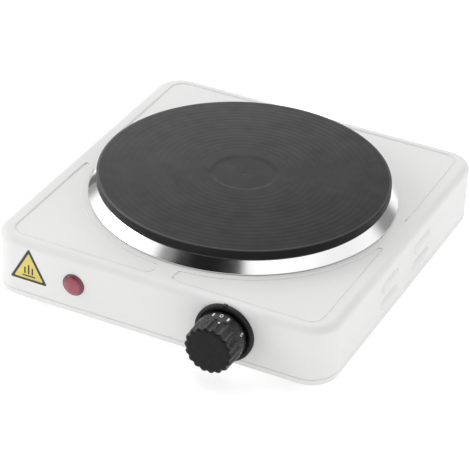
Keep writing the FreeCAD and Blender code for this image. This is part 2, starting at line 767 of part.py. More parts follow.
def make_thermostat_leaves():
    rivet_bore = "1.6"
    tab = leaf("input_tab", "moving_level - 1", "- tab_length - 4", "tab_length + 8", rivet_bore)
    piece("input_tab", tab)
    moving = leaf("moving_blade", "moving_level", "- 4", "blade_length + 4", "2.4")
    piece("moving_blade", moving)
    fixed_length = "tab_length + 4 + blade_length"
    fixed = leaf("fixed_blade", "fixed_level", "- tab_length - 4", fixed_length, rivet_bore)
    piece("fixed_blade", fixed)
    piece("bimetal_strip", leaf("bimetal_strip", "bimetal_level", "- 4", "blade_length + 2", rivet_bore))
    contact_x = "knob_side + contact_offset"
    rear_of_moving = behind("moving_level + blade_skin")
    moving_contact = cylinder("moving_contact", (contact_x, rear_of_moving, KNOB_Z), "2", "1.5", "Y")
    piece("moving_contact", moving_contact)
    fixed_start = behind("fixed_level - 1.5")
    piece("fixed_contact", cylinder("fixed_contact", (contact_x, fixed_start, KNOB_Z), "2", "1.5", "Y"))
    button = cylinder("push_button", ("knob_side", behind("moving_level - 0.5"), KNOB_Z), "2", "0.5", "Y")
    piece("push_button", button)

    levels = [
        ("bracket_skin", "moving_level - 1"),
        ("moving_level - 0.6", "moving_level - 0.3"),
        ("moving_level + blade_skin + 0.3", "fixed_level"),
        ("fixed_level + blade_skin", "bimetal_level"),
        ("bimetal_level + blade_skin", "bimetal_level + blade_skin + 3"),
    ]
    spacers = []
    for i, (near, far) in enumerate(levels):
        start = (STACK_X, behind(near), KNOB_Z)
        length = f"({far}) - ({near})"
        spacers.append(ring(f"insulator_{i}", start, "stack_radius", rivet_bore, length, "Y"))
    piece("thermostat_insulators", group("thermostat_insulators", *spacers))
    shank_length = "bimetal_level + blade_skin + 3"
    shank = cylinder("stack_rivet_shank", (STACK_X, PANEL_BACK, KNOB_Z), "1.5", shank_length, "Y")
    head = cylinder("stack_rivet_head", (STACK_X, behind(shank_length), KNOB_Z), "3", "1", "Y")
    piece("stack_rivet", fuse("stack_rivet", shank, head))


def make_knob():
    """The knob's body starts at its front face; +Y runs back to the open skirt."""
    length = KNOB_LENGTH
    profile = [
        ("0", "0"),
        ("grip_radius - 0.8", "0"),
        ("grip_radius", "0.8"),
        ("grip_radius", "grip_length"),
        ("knob_radius", "grip_length + 0.6"),
        ("knob_radius", length),
        ("knob_radius - knob_wall", length),
        ("knob_radius - knob_wall - 0.6", "4"),
        ("6", "4"),
        ("6", f"{length} - 1"),
        ("spindle_radius + 0.02", f"{length} - 1"),
        ("spindle_radius + 0.02", "3"),
        ("0", "3"),
    ]
    knob = turned("knob", "XY_Plane", profile, "knob_side", KNOB_FRONT, KNOB_Z)
    before = knob.Shape.Volume
    planes = {feature.Role: feature for feature in knob.Origin.OriginFeatures}
    sketch = knob.newObject("Sketcher::SketchObject", "flute_outline")
    sketch.AttachmentSupport = [(planes["XZ_Plane"], "")]
    sketch.MapMode = "FlatFace"
    middle = FreeCAD.Vector(0, SIZES["flute_circle"], 0)
    sketch.addGeometry(Part.Circle(middle, FreeCAD.Vector(0, 0, 1), SIZES["flute_radius"]), False)
    sketch.addConstraint(Sketcher.Constraint("PointOnObject", 0, 3, -2))
    offset = sketch.addConstraint(Sketcher.Constraint("DistanceY", -1, 1, 0, 3, middle.y))
    sketch.setExpression(f"Constraints[{offset}]", formula("flute_circle"))
    radius = sketch.addConstraint(Sketcher.Constraint("Radius", 0, SIZES["flute_radius"]))
    sketch.setExpression(f"Constraints[{radius}]", formula("flute_radius"))
    flute = knob.newObject("PartDesign::Pocket", "flute")
    flute.Profile = sketch
    flute.setExpression("Length", formula("grip_length - 1"))
    doc.recompute()
    flutes = knob.newObject("PartDesign::PolarPattern", "flutes")
    flutes.Originals = [flute]
    flutes.Axis = (sketch, ["N_Axis"])
    flutes.Angle = 360
    flutes.setExpression("Occurrences", formula("flute_count"))
    knob.Tip = flutes
    doc.recompute()
    if not knob.Shape.Volume < before - 100:
        raise RuntimeError("the knob's flutes cut nothing")
    piece("knob", knob)

    clip = ring(
        "knob_clip",
        ("knob_side", f"{KNOB_FRONT} + {length} - 5", KNOB_Z),
        "6.6",
        "6.02",
        "3",
        "Y",
    )
    piece("knob_clip", clip)


def make_bezel():
    profile = [
        ("bush_radius + 0.3", "0"),
        ("bush_radius + 0.3", "-bezel_rise"),
        ("bezel_radius - 1", "-bezel_rise"),
        ("bezel_radius", "1 - bezel_rise"),
        ("bezel_radius", "0"),
    ]
    disc = turned("bezel_disc", "XY_Plane", profile, "knob_side", FRONT, KNOB_Z)
    nib_low = ("knob_side - 1.1", BEZEL_FACE, f"{KNOB_Z} + bezel_radius - 3")
    nib = box("bezel_nib", nib_low, ("2.2", "bezel_rise", "nib_reach - bezel_radius + 3"))
    pockets = []
    for side in (-1, 1):
        x = f"knob_side + {side} * fixing_offset"
        pockets.append(cylinder(f"bezel_pocket_{side + 2}", (x, f"{FRONT} - 1.6", KNOB_Z), "3", "2", "Y"))
    piece("bezel", cut("bezel", fuse("bezel_blank", disc, nib), *pockets))


# -------------------------------------------------------------------- lamp, mains and wiring

def make_lamp():
    lens_profile = [
        ("0", "0"),
        ("0", "-lens_rise"),
        ("0.5 * lens_radius", "-0.88 * lens_rise"),
        ("0.85 * lens_radius", "-0.55 * lens_rise"),
        ("lens_radius", "-0.15 * lens_rise"),
        ("lens_radius", "0"),
    ]
    lens = turned("lamp_lens", "XY_Plane", lens_profile, "-lamp_side", FRONT, LAMP_Z)
    piece("lamp_lens", lens)
    bore = "lamp_radius - 1"
    body = ring("lamp_sleeve", ("-lamp_side", FRONT, LAMP_Z), "lamp_radius", bore, "lamp_length", "Y")
    end_start = ("-lamp_side", f"{FRONT} + lamp_length", LAMP_Z)
    end = cylinder("lamp_end", end_start, "lamp_radius", "1.5", "Y")
    piece("lamp_body", fuse("lamp_tube", body, end))
    bulb_start = ("-lamp_side", f"{FRONT} + 6", LAMP_Z)
    bulb_length = "lamp_length - 6"
    piece("lamp_bulb", cylinder("lamp_bulb", bulb_start, "bulb_radius", bulb_length, "Y"))
    clip = ring("lamp_retainer", ("-lamp_side", PANEL_BACK, LAMP_Z), "9.5", "lamp_radius + 0.05", "1", "Y")
    piece("lamp_retainer", clip)


def make_gland():
    inner_end = "-(wall + 6)"
    profile = [
        ("gland_bore", inner_end),
        ("gland_bore", "gland_reach"),
        ("gland_flange - 1.5", "gland_reach"),
        ("gland_flange", "gland_reach - 1.5"),
        ("gland_flange", "0"),
        ("gland_neck - 0.05", "0"),
        ("gland_neck - 0.05", "-wall"),
        ("gland_neck + 1", "-wall"),
        ("gland_neck - 0.5", inner_end),
    ]
    piece("mains_gland", turned("mains_gland", "XY_Plane", profile, "gland_side", REAR, GLAND_Z))


def make_terminal_block():
    block_x = "(0 - block_side)"
    blank_size = ("block_width", "block_depth", "block_height")
    blank = slab("block_blank", (block_x, BLOCK_Y), PAN_FLOOR, blank_size)
    pockets = []
    inserts = []
    screws = []
    insert_low = f"({PAN_FLOOR} + 2)"
    for i in range(3):
        x = f"{block_x} + {i - 1} * insert_pitch"
        bore_start = (x, f"{BLOCK_Y} - 10", f"{PAN_FLOOR} + 5")
        bore = cylinder(f"insert_bore_{i}", bore_start, "wire_bore", "20", "Y")
        pocket_size = ("insert_width + 0.1", "block_depth - 2.9", "20")
        pockets.append(slab(f"block_pocket_{i}", (x, BLOCK_Y), insert_low, pocket_size))
        pockets.append(cylinder(f"block_bore_{i}", bore_start, "wire_bore", "20", "Y"))
        insert_size = ("insert_width", "block_depth - 3", "insert_height")
        insert = slab(f"insert_blank_{i}", (x, BLOCK_Y), insert_low, insert_size)
        threads = []
        for side in (-1, 1):
            spot = (x, f"{BLOCK_Y} + {side} * 3.5")
            name = f"{i}_{side + 2}"
            thread_start = (*spot, f"{PAN_FLOOR} + 5")
            threads.append(cylinder(f"insert_thread_{name}", thread_start, "clamp_screw_radius + 0.05", "20"))
            screw_start = (*spot, f"{PAN_FLOOR} + 7.2")
            screws.append(cylinder(f"clamp_screw_{name}", screw_start, "clamp_screw_radius", "6"))
        inserts.append(cut(f"terminal_insert_{i}", insert, bore, *threads))
    piece("terminal_block", cut("terminal_block", blank, *pockets))
    piece("terminal_inserts", group("terminal_inserts", *inserts))
    piece("terminal_clamp_screws", group("terminal_clamp_screws", *screws))


def make_earth_point():
    spot = ("earth_side", BLOCK_Y)
    head = cylinder("earth_head", (*spot, "foot_height - 1.6"), "4", "1.6")
    shank = cylinder("earth_shank", (*spot, "foot_height"), "2", "9")
    piece("earth_screw", fuse("earth_screw", head, shank))
    eye = cylinder("earth_eye", (*spot, PAN_FLOOR), "4.5", "wall")
    tongue = box("earth_tongue", ("earth_side - 12", f"{BLOCK_Y} - 2", PAN_FLOOR), ("12", "4", "wall"))
    tag_hole = cylinder("earth_tag_hole", (*spot, f"{PAN_FLOOR} - 1"), "2.1", "4")
    piece("earth_tag", cut("earth_tag", fuse("earth_tag_blank", eye, tongue), tag_hole))
    nut_low = f"{PAN_FLOOR} + wall"
    nut = hexagon("earth_nut_blank", (*spot, nut_low), "4", "3")
    nut_hole = cylinder("earth_nut_hole", (*spot, f"{PAN_FLOOR}"), "2.02", "8")
    piece("earth_nut", cut("earth_nut", nut, nut_hole))


def rounded_path(points):
    """Straight runs joined by tangent arcs, each as large as its two runs allow."""
    corners = [FreeCAD.Vector(*point) for point in points]
    edges = []
    last = corners[0]
    for before, corner, after in zip(corners, corners[1:], corners[2:]):
        run_in = before - corner
        run_out = after - corner
        reach = 0.45 * min(run_in.Length, run_out.Length)
        start = corner + run_in.normalize() * reach
        end = corner + run_out.normalize() * reach
        half_angle = run_in.getAngle(run_out) / 2
        radius = reach * math.tan(half_angle)
        middle_line = (run_in + run_out).normalize()
        middle = corner + middle_line * (radius / math.sin(half_angle) - radius)
        edges.append(Part.LineSegment(last, start).toShape())
        edges.append(Part.Arc(start, middle, end).toShape())
        last = end
    edges.append(Part.LineSegment(last, corners[-1]).toShape())
    return Part.Wire(edges)


def wire(label, points):
    """One insulated lead along a route of points."""
    radius = float(sheet.get("wire_radius"))
    path = rounded_path(points)
    start = path.Edges[0]
    direction = start.tangentAt(start.FirstParameter)
    section = Part.Wire(Part.makeCircle(radius, start.valueAt(start.FirstParameter), direction))
    lead = doc.addObject("Part::Feature", label)
    lead.Shape = path.makePipeShell([section], True, False)
    expected = math.pi * radius ** 2 * path.Length
    if abs(lead.Shape.Volume / expected - 1) > 0.02:
        raise RuntimeError(f"{label} has the wrong volume")
    piece(label, lead)


def make_wiring():
    """Six leads between the terminals, all under the heat shield."""
    get = sheet.get
    radius = get("wire_radius")
    centre_y = (get("knob_reach") - get("gland_reach")) / 2
    panel_back = centre_y - get("body_depth") / 2 + get("wall")
    floor = get("foot_height") + get("wall")
    stack_x = get("knob_side") - get("stack_offset")
    tab_end = stack_x - get("tab_length") - 4
    tab_z = get("foot_height") + get("knob_level")
    input_y = panel_back + get("moving_level") - 1 + get("blade_skin") / 2
    output_y = panel_back + get("fixed_level") + get("blade_skin") / 2
    pin_y = centre_y + get("plate_shift") + get("terminal_behind")
    pin_z = get("foot_height") + get("pin_tip")
    pins = [(i - 1.5) * get("pin_pitch") for i in range(4)]
    block_y = centre_y + get("block_behind")
    block_front = block_y - get("block_depth") / 2
    entry_z = floor + 5
    inserts = [-get("block_side") + (i - 1) * get("insert_pitch") for i in range(3)]
    lamp_x = -get("lamp_side")
    lamp_end = centre_y - get("body_depth") / 2 + get("lamp_length") + 1.5
    lamp_z = get("foot_height") + get("lamp_level")
    low_run = floor + 8

    wire("live_wire", [
        (tab_end, input_y, tab_z),
        (tab_end - 8, input_y, tab_z),
        (-16, input_y + 12, 20),
        (-22, input_y + 40, entry_z),
        (-22, block_front - 18, entry_z),
        (inserts[0], block_front - 8, entry_z),
        (inserts[0], block_front, entry_z),
    ])
    wire("heater_wire", [
        (tab_end, output_y, tab_z),
        (tab_end - 5, output_y, tab_z),
        (tab_end - 7, output_y + 16, low_run + 4),
        (pins[3] + 4, output_y + 44, low_run),
        (pins[3] + 3, pin_y - 16, low_run),
        (pins[3], pin_y, low_run),
        (pins[3], pin_y, pin_z),
    ])
    wire("neutral_wire", [
        (inserts[1], block_front, entry_z),
        (inserts[1], block_front - 9, entry_z),
        (pins[0], pin_y + 14, entry_z + 2),
        (pins[0], pin_y, low_run + 1),
        (pins[0], pin_y, pin_z),
    ])
    wire("lamp_neutral_wire", [
        (lamp_x - 3, lamp_end, lamp_z),
        (lamp_x - 3, lamp_end + 8, lamp_z),
        (-46, -56, 20),
        (-32, 24, 19),
        (pins[1] - 3, pin_y - 15, 17),
        (pins[1], pin_y, 18),
        (pins[1], pin_y, pin_z),
    ])
    wire("lamp_live_wire", [
        (lamp_x + 3, lamp_end, lamp_z),
        (lamp_x + 3, lamp_end + 8, lamp_z),
        (-36, -60, 20),
        (-24, 14, 19),
        (pins[2] - 6, pin_y - 20, 17),
        (pins[2], pin_y, 18),
        (pins[2], pin_y, pin_z),
    ])
    tag_z = floor + get("wall") + radius
    wire("earth_wire", [
        (inserts[2], block_front, entry_z),
        (inserts[2], block_front - 7, entry_z),
        (inserts[2] + 9, block_front - 9, tag_z + 1.5),
        (get("earth_side") - 12, block_y - 9, tag_z),
        (get("earth_side") - 10, block_y - 1, tag_z),
    ])


def make_label():
    """A plain three-cornered label on the front."""
    body = doc.addObject("PartDesign::Body", "front_label")
    corners = [
        ("label_left", "label_foot"),
        ("label_right", "label_foot"),
        ("label_apex_side", "label_apex"),
    ]
    sketch = outline(body, "XZ_Plane", corners)
    pad = body.newObject("PartDesign::Pad", "front_label_pad")
    pad.Profile = sketch
    pad.setExpression("Length", formula("label_skin"))
    place(body, "0", FRONT, "foot_height")
    doc.recompute()
    round_edges(
        body,
        "front_label_corners",
        "label_corner",
        lambda edge: edge.BoundBox.YLength > edge.Length * 0.99,
    )
    piece("front_label", body)


# -------------------------------------------------------------------------- build and export

def is_sound(item):
    states = set(item.State)
    return not states & {"Invalid", "Error"}


def main():
    fill_sheet()
    make_housing()
    make_base_pan()
    make_feet()
    make_hotplate()
    make_heating()
    make_trim_ring()
    make_burner_fixings()
    make_element_terminals()
    make_thermostat_frame()
    make_thermostat_leaves()
    make_knob()
    make_bezel()
    make_lamp()
    make_gland()
    make_terminal_block()
    make_earth_point()
    make_wiring()
    make_label()
    doc.recompute()

    faults = [item.Label for item in doc.Objects if not is_sound(item)]
    for item in pieces:
        if item.Shape.isNull() or not item.Shape.isValid() or not item.Shape.Solids:
            faults.append(item.Label)
    if faults:
        raise RuntimeError(f"failed: {sorted(set(faults))}")

    os.makedirs("parts", exist_ok=True)
    for item in pieces:
        item.Shape.exportStep(f"parts/{item.Label}.step")
        print(f"{item.Label}: {len(item.Shape.Solids)} solids, volume {item.Shape.Volume:.1f}")


main()
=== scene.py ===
"""Portable electric hot plate: the visual model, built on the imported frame."""

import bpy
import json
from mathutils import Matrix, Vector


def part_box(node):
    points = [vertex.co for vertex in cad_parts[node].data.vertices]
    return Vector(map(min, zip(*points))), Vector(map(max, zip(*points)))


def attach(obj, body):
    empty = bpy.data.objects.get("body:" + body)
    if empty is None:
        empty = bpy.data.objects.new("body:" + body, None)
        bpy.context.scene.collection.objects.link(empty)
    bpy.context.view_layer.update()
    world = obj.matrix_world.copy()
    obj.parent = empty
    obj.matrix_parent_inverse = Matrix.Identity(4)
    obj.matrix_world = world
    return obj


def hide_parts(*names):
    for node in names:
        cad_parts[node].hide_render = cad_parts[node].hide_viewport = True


bl_info = {
    "name": "Portable Hot Plate",
    "version": (1, 0, 0),
    "blender": (4, 5, 0),
    "location": "View3D > Sidebar > Hot Plate",
    "description": "Builds the shells, burner, controls and finishes of a portable hot plate",
    "category": "Object",
}

import json
import math

import bmesh
import bpy
from bpy.props import FloatProperty, FloatVectorProperty, IntProperty, PointerProperty
from bpy.types import Operator, Panel, PropertyGroup
from mathutils import Matrix, Vector

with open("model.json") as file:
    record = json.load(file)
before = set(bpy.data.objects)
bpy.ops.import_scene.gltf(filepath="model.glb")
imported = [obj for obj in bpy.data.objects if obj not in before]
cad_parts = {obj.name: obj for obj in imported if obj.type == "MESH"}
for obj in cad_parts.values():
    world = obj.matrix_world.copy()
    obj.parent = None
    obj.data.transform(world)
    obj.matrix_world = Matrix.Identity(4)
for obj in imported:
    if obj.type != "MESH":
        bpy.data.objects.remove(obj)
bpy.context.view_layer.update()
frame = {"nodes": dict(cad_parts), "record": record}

MM = 0.001
UP = Vector((0, 0, 1))
WALL = 0.8 * MM
SEAM = 0.2 * MM
FEET = ("front_left", "front_right", "rear_left", "rear_right")
POINTER_TURN = math.radians(9)

# The crease's cutting tool stands this far outside the panel's wall and above the top, so
# that none of its edges lies in the plane of a face that the booleans also cut.
CLEAR = 0.04 * MM

# Shared places, read from the frame.
CASE_LOW, CASE_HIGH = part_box("base_pan")
HOUSING_LOW, HOUSING_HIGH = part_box("housing")
PLATE_LOW, PLATE_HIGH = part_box("hotplate")
KNOB_LOW, KNOB_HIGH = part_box("knob")
BEZEL_LOW, BEZEL_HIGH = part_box("bezel")
LENS_LOW, LENS_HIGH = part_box("lamp_lens")
GLAND_LOW, GLAND_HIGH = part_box("mains_gland")
LABEL_LOW, LABEL_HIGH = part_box("front_label")

CASE_WIDTH = CASE_HIGH.x - CASE_LOW.x
CASE_DEPTH = CASE_HIGH.y - CASE_LOW.y
CASE_MIDDLE = (CASE_LOW.y + CASE_HIGH.y) / 2
FRONT = CASE_LOW.y
REAR = CASE_HIGH.y
PAN_BASE = CASE_LOW.z
PAN_RIM = CASE_HIGH.z
TOP = HOUSING_HIGH.z
BURNER = Vector((0, (PLATE_LOW.y + PLATE_HIGH.y) / 2, 0))
PLATE_TOP = PLATE_HIGH.z
PLATE_RADIUS = (PLATE_HIGH.x - PLATE_LOW.x) / 2
KNOB_AXIS = Vector(((KNOB_LOW.x + KNOB_HIGH.x) / 2, 0, (KNOB_LOW.z + KNOB_HIGH.z) / 2))
LENS_AXIS = Vector(((LENS_LOW.x + LENS_HIGH.x) / 2, 0, (LENS_LOW.z + LENS_HIGH.z) / 2))
GLAND_AXIS = Vector(((GLAND_LOW.x + GLAND_HIGH.x) / 2, 0, (GLAND_LOW.z + GLAND_HIGH.z) / 2))


# ------------------------------------------------------------------------------- properties

def length(label, description, millimetres):
    return FloatProperty(
        name=label, description=description, default=millimetres * MM, subtype="DISTANCE", unit="LENGTH"
    )


def colour(label, description, red, green, blue):
    return FloatVectorProperty(
        name=label,
        description=description,
        default=(red, green, blue),
        subtype="COLOR",
        size=3,
        min=0,
        max=1,
    )


class CasingSettings(PropertyGroup):
    corner: length("Corner", "Radius of the casing's upright corners", 18.3)
    top_round: length("Top rounding", "Radius along the top edge", 5.0)
    panel_depth: length("Panel depth", "How deep the panels are pressed", 0.5)
    crease: length("Crease", "Depth of the crease round the panels, below the top", 1.1)
    panel_corner: length("Panel corner", "Radius of the panels' outer corners", 9.0)
    panel_width: length("Panel width", "Half the width over the outer panel edges", 103.5)
    panel_reach: length("Panel reach", "Half the depth over the outer panel edges", 111.5)
    panel_ring: length("Panel ring", "Radius of the panels' inner edge round the burner", 102.8)
    rib: length("Rib", "Half the width of the flat rib at the front and the back", 7.0)
    side_rib: length("Side rib", "Half the width of the flat rib at each side", 18.5)
    louvre: length("Louvre", "Length of one louvre", 28.0)
    paint: colour("Paint", "Colour of the baked enamel", 0.745, 0.745, 0.74)


class BurnerSettings(PropertyGroup):
    dimple: length("Dimple", "Radius of the dimple in the middle", 21.7)
    dimple_depth: length("Dimple depth", "Depth of the dimple", 0.8)
    first_ring: length("First ring", "Radius of the innermost turned ring", 30.0)
    ring_pitch: length("Ring pitch", "Distance from one turned ring to the next", 4.15)
    ring_depth: length("Ring depth", "Depth of each turned ring", 0.06)
    iron: colour("Iron", "Colour of the coated casting", 0.019, 0.019, 0.0195)


class ControlSettings(PropertyGroup):
    flutes: IntProperty(name="Flutes", description="Flutes round the knob's grip", default=18, min=6)
    flute_depth: length("Flute depth", "Depth of the flutes", 1.3)
    skirt: length("Skirt", "Length of the knob's smooth skirt", 8.0)
    plastic: colour("Plastic", "Colour of the knob and bezel", 0.006, 0.006, 0.007)
    ink: colour("Ink", "Colour of the printed marks", 0.80, 0.80, 0.80)
    lens: colour("Lens", "Colour of the pilot lamp's lens", 0.42, 0.05, 0.09)
    film: colour("Film", "Colour of the front label", 0.66, 0.55, 0.13)


class StageSettings(PropertyGroup):
    floor: colour("Floor", "Colour of the floor", 0.93, 0.93, 0.93)
    glow: FloatProperty(name="Glow", description="Light that the floor gives off", default=0.42, min=0)
    sky: FloatProperty(name="Sky", description="Strength of the studio's light", default=1.12, min=0)


# -------------------------------------------------------------------------- mesh functions

def edges_where(bm, test):
    return [edge for edge in bm.edges if test(edge)]


def bevel(bm, parts, offset, segments, affect="EDGES"):
    bmesh.ops.bevel(
        bm,
        geom=parts,
        offset=offset,
        offset_type="OFFSET",
        segments=segments,
        profile=0.5,
        affect=affect,
        material=-1,
        clamp_overlap=True,
    )


def is_at(edge, level, axis=2):
    return all(abs(vert.co[axis] - level) < 1e-6 for vert in edge.verts)


def is_upright(edge):
    run = edge.verts[1].co - edge.verts[0].co
    return abs(run.z) > 0.99 * run.length


def rounded_block(half_x, half_y, corner, low, high, segments=14):
    """A block round the casing's middle whose upright corners are rounded."""
    bm = bmesh.new()
    bmesh.ops.create_grid(bm, x_segments=1, y_segments=1, size=1)
    bmesh.ops.scale(bm, vec=(half_x, half_y, 1), verts=bm.verts)
    bevel(bm, bm.verts[:], corner, segments, "VERTICES")
    bmesh.ops.translate(bm, vec=(0, CASE_MIDDLE, low), verts=bm.verts)
    raised = bmesh.ops.extrude_face_region(bm, geom=bm.faces[:])["geom"]
    verts = [part for part in raised if isinstance(part, bmesh.types.BMVert)]
    bmesh.ops.translate(bm, vec=(0, 0, high - low), verts=verts)
    bmesh.ops.recalc_face_normals(bm, faces=bm.faces)
    return bm


def inset_block(inset, corner, low, high):
    """A rounded block that stands inside the casing's walls by the inset on every side."""
    return rounded_block(CASE_WIDTH / 2 - inset, CASE_DEPTH / 2 - inset, corner - inset, low, high)


def cuboid(low, high):
    low, high = Vector(low), Vector(high)
    bm = bmesh.new()
    bmesh.ops.create_cube(bm, size=1)
    bmesh.ops.scale(bm, vec=high - low, verts=bm.verts)
    bmesh.ops.translate(bm, vec=(low + high) / 2, verts=bm.verts)
    return bm


def laid_along(bm, axis, spot):
    """Turns a mesh made along Z onto the axis, and moves it to the spot."""
    turn = {"Z": Matrix(), "Y": Matrix.Rotation(math.radians(-90), 4, "X")}[axis]
    bmesh.ops.transform(bm, matrix=Matrix.Translation(Vector(spot)) @ turn, verts=bm.verts)
    bmesh.ops.recalc_face_normals(bm, faces=bm.faces)
    return bm


def cylinder(start, radius, reach, axis="Z", segments=96):
    """A closed cylinder from start along the axis."""
    bm = bmesh.new()
    bmesh.ops.create_cone(
        bm, cap_ends=True, segments=segments, radius1=radius, radius2=radius, depth=reach
    )
    bmesh.ops.translate(bm, vec=(0, 0, reach / 2), verts=bm.verts)
    return laid_along(bm, axis, start)


def turned(points, middle, axis="Z", steps=144, closed=False):
    """Spins a profile of (radius, height) points about an axis through middle.

    Height runs along the axis. A profile that starts and ends on the axis, or a closed
    one, gives a closed shell.
    """
    bm = bmesh.new()
    verts = [bm.verts.new((radius, 0, height)) for radius, height in points]
    pairs = list(zip(verts, verts[1:]))
    if closed:
        pairs.append((verts[-1], verts[0]))
    edges = [bm.edges.new(pair) for pair in pairs]
    bmesh.ops.spin(
        bm,
        geom=verts + edges,
        cent=(0, 0, 0),
        axis=UP,
        angle=2 * math.pi,
        steps=steps,
        use_merge=True,
        use_duplicate=False,
    )
    bmesh.ops.remove_doubles(bm, verts=bm.verts, dist=1e-6)
    return laid_along(bm, axis, middle)


def arc(centre, radius, start, end, count):
    """Points of an arc in a profile, angles in degrees from the radial direction."""
    points = []
    for i in range(count + 1):
        angle = math.radians(start + (end - start) * i / count)
        points.append((centre[0] + radius * math.cos(angle), centre[1] + radius * math.sin(angle)))
    return points


def loose_object(name, bm):
    """An object with the mesh, which is used up."""
    mesh = bpy.data.meshes.new(name)
    bm.to_mesh(mesh)
    bm.free()
    item = bpy.data.objects.new(name, mesh)
    bpy.context.scene.collection.objects.link(item)
    return item


def combine(bm, others, operation):
    """The base mesh after one exact boolean with each of the others; uses them all up."""
    base = loose_object("work_base", bm)
    tools = []
    for i, other in enumerate(others):
        tool = loose_object(f"work_tool_{i}", other)
        step = base.modifiers.new(f"step_{i}", "BOOLEAN")
        step.solver = "EXACT"
        step.operation = operation
        step.object = tool
        tools.append(tool)
    graph = bpy.context.evaluated_depsgraph_get()
    mesh = bpy.data.meshes.new_from_object(base.evaluated_get(graph))
    result = bmesh.new()
    result.from_mesh(mesh)
    bpy.data.meshes.remove(mesh)
    for item in [base, *tools]:
        data = item.data
        bpy.data.objects.remove(item)
        bpy.data.meshes.remove(data)
    return result


def merged(*parts):
    """Several closed shells as one mesh."""
    bm = bmesh.new()
    for part in parts:
        mesh = bpy.data.meshes.new("work_part")
        part.to_mesh(mesh)
        part.free()
        bm.from_mesh(mesh)
        bpy.data.meshes.remove(mesh)
    return bm


def piece(name, bm, body, material, nodes=(), sharp=32.0, soften=None):
    """Turns a mesh into a finished piece that rides on a body.

    soften is the width of a bevel that the sharp edges get.
    """
    item = loose_object(name, bm)
    mesh = item.data
    mesh.shade_smooth()
    if soften is None:
        mesh.set_sharp_from_angle(angle=math.radians(sharp))
    else:
        rounding = item.modifiers.new("Rounded edges", "BEVEL")
        rounding.width = soften
        rounding.segments = 3
        rounding.profile = 0.5
        rounding.limit_method = "ANGLE"
        rounding.angle_limit = math.radians(sharp)
        rounding.use_clamp_overlap = False
        rounding.harden_normals = False
    weight = item.modifiers.new("Even shading", "WEIGHTED_NORMAL")
    weight.keep_sharp = True
    weight.weight = 100
    mesh.materials.append(material)
    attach(item, body)
    if nodes:
        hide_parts(*nodes)
    return item


# ------------------------------------------------------------------------------- materials

class Finish:
    """A procedural surface under construction, on the piece's own coordinates."""

    def __init__(self, name):
        self.material = bpy.data.materials.new(name)
        self.material.use_nodes = True
        self.nodes = self.material.node_tree.nodes
        self.links = self.material.node_tree.links
        self.shader = self.nodes["Principled BSDF"]
        self.place = self.add("ShaderNodeTexCoord").outputs["Object"]

    def add(self, kind, **inputs):
        node = self.nodes.new(kind)
        for name, value in inputs.items():
            node.inputs[name.replace("_", " ")].default_value = value
        return node

    def set(self, **inputs):
        for name, value in inputs.items():
            self.shader.inputs[name.replace("_", " ")].default_value = value

    def centred(self, point, scale=(1, 1, 1)):
        node = self.add("ShaderNodeMapping")
        node.vector_type = "POINT"
        node.inputs["Location"].default_value = -Vector(point) * Vector(scale)
        node.inputs["Scale"].default_value = scale
        self.links.new(self.place, node.inputs["Vector"])
        return node.outputs["Vector"]

    def noise(self, scale, detail=4.0, roughness=0.55, where=None):
        node = self.add("ShaderNodeTexNoise", Scale=scale, Detail=detail, Roughness=roughness)
        self.links.new(where or self.place, node.inputs["Vector"])
        return node.outputs["Fac"]

    def spread(self, value, low, high, source=(0.3, 0.7)):
        """Maps a pattern onto a range of values."""
        node = self.add("ShaderNodeMapRange")
        node.inputs["From Min"].default_value = source[0]
        node.inputs["From Max"].default_value = source[1]
        node.inputs["To Min"].default_value = low
        node.inputs["To Max"].default_value = high
        self.links.new(value, node.inputs["Value"])
        return node.outputs["Result"]

    def times(self, first, second):
        node = self.add("ShaderNodeMath")
        node.operation = "MULTIPLY"
        self.links.new(first, node.inputs[0])
        self.links.new(second, node.inputs[1])
        return node.outputs["Value"]

    def tint(self, value, first, second, source=(0.35, 0.65)):
        node = self.add("ShaderNodeValToRGB")
        ramp = node.color_ramp
        ramp.elements[0].position = source[0]
        ramp.elements[1].position = source[1]
        ramp.elements[0].color = (*first, 1)
        ramp.elements[1].color = (*second, 1)
        self.links.new(value, node.inputs["Fac"])
        return node.outputs["Color"]

    def blend(self, factor, first, second):
        node = self.add("ShaderNodeMix")
        node.data_type = "RGBA"
        self.links.new(factor, node.inputs["Factor"])
        self.links.new(first, node.inputs["A"])
        self.links.new(second, node.inputs["B"])
        return node.outputs["Result"]

    def distance(self, where):
        node = self.add("ShaderNodeVectorMath")
        node.operation = "LENGTH"
        self.links.new(where, node.inputs[0])
        return node.outputs["Value"]

    def scaled(self, vector, factor):
        node = self.add("ShaderNodeVectorMath")
        node.operation = "SCALE"
        self.links.new(vector, node.inputs[0])
        self.links.new(factor, node.inputs["Scale"])
        return node.outputs["Vector"]

    def rings(self, where, direction, **inputs):
        node = self.add("ShaderNodeTexWave", **inputs)
        node.wave_type = "RINGS"
        node.rings_direction = direction
        self.links.new(where, node.inputs["Vector"])
        return node.outputs["Fac"]

    def feed(self, name, value):
        self.links.new(value, self.shader.inputs[name])

    def bump(self, value, height, strength=1.0, below=None):
        node = self.add("ShaderNodeBump", Strength=strength, Distance=height)
        self.links.new(value, node.inputs["Height"])
        if below is not None:
            self.links.new(below, node.inputs["Normal"])
        return node.outputs["Normal"]


def shade(rgb, factor):
    return tuple(min(1.0, channel * factor) for channel in rgb)


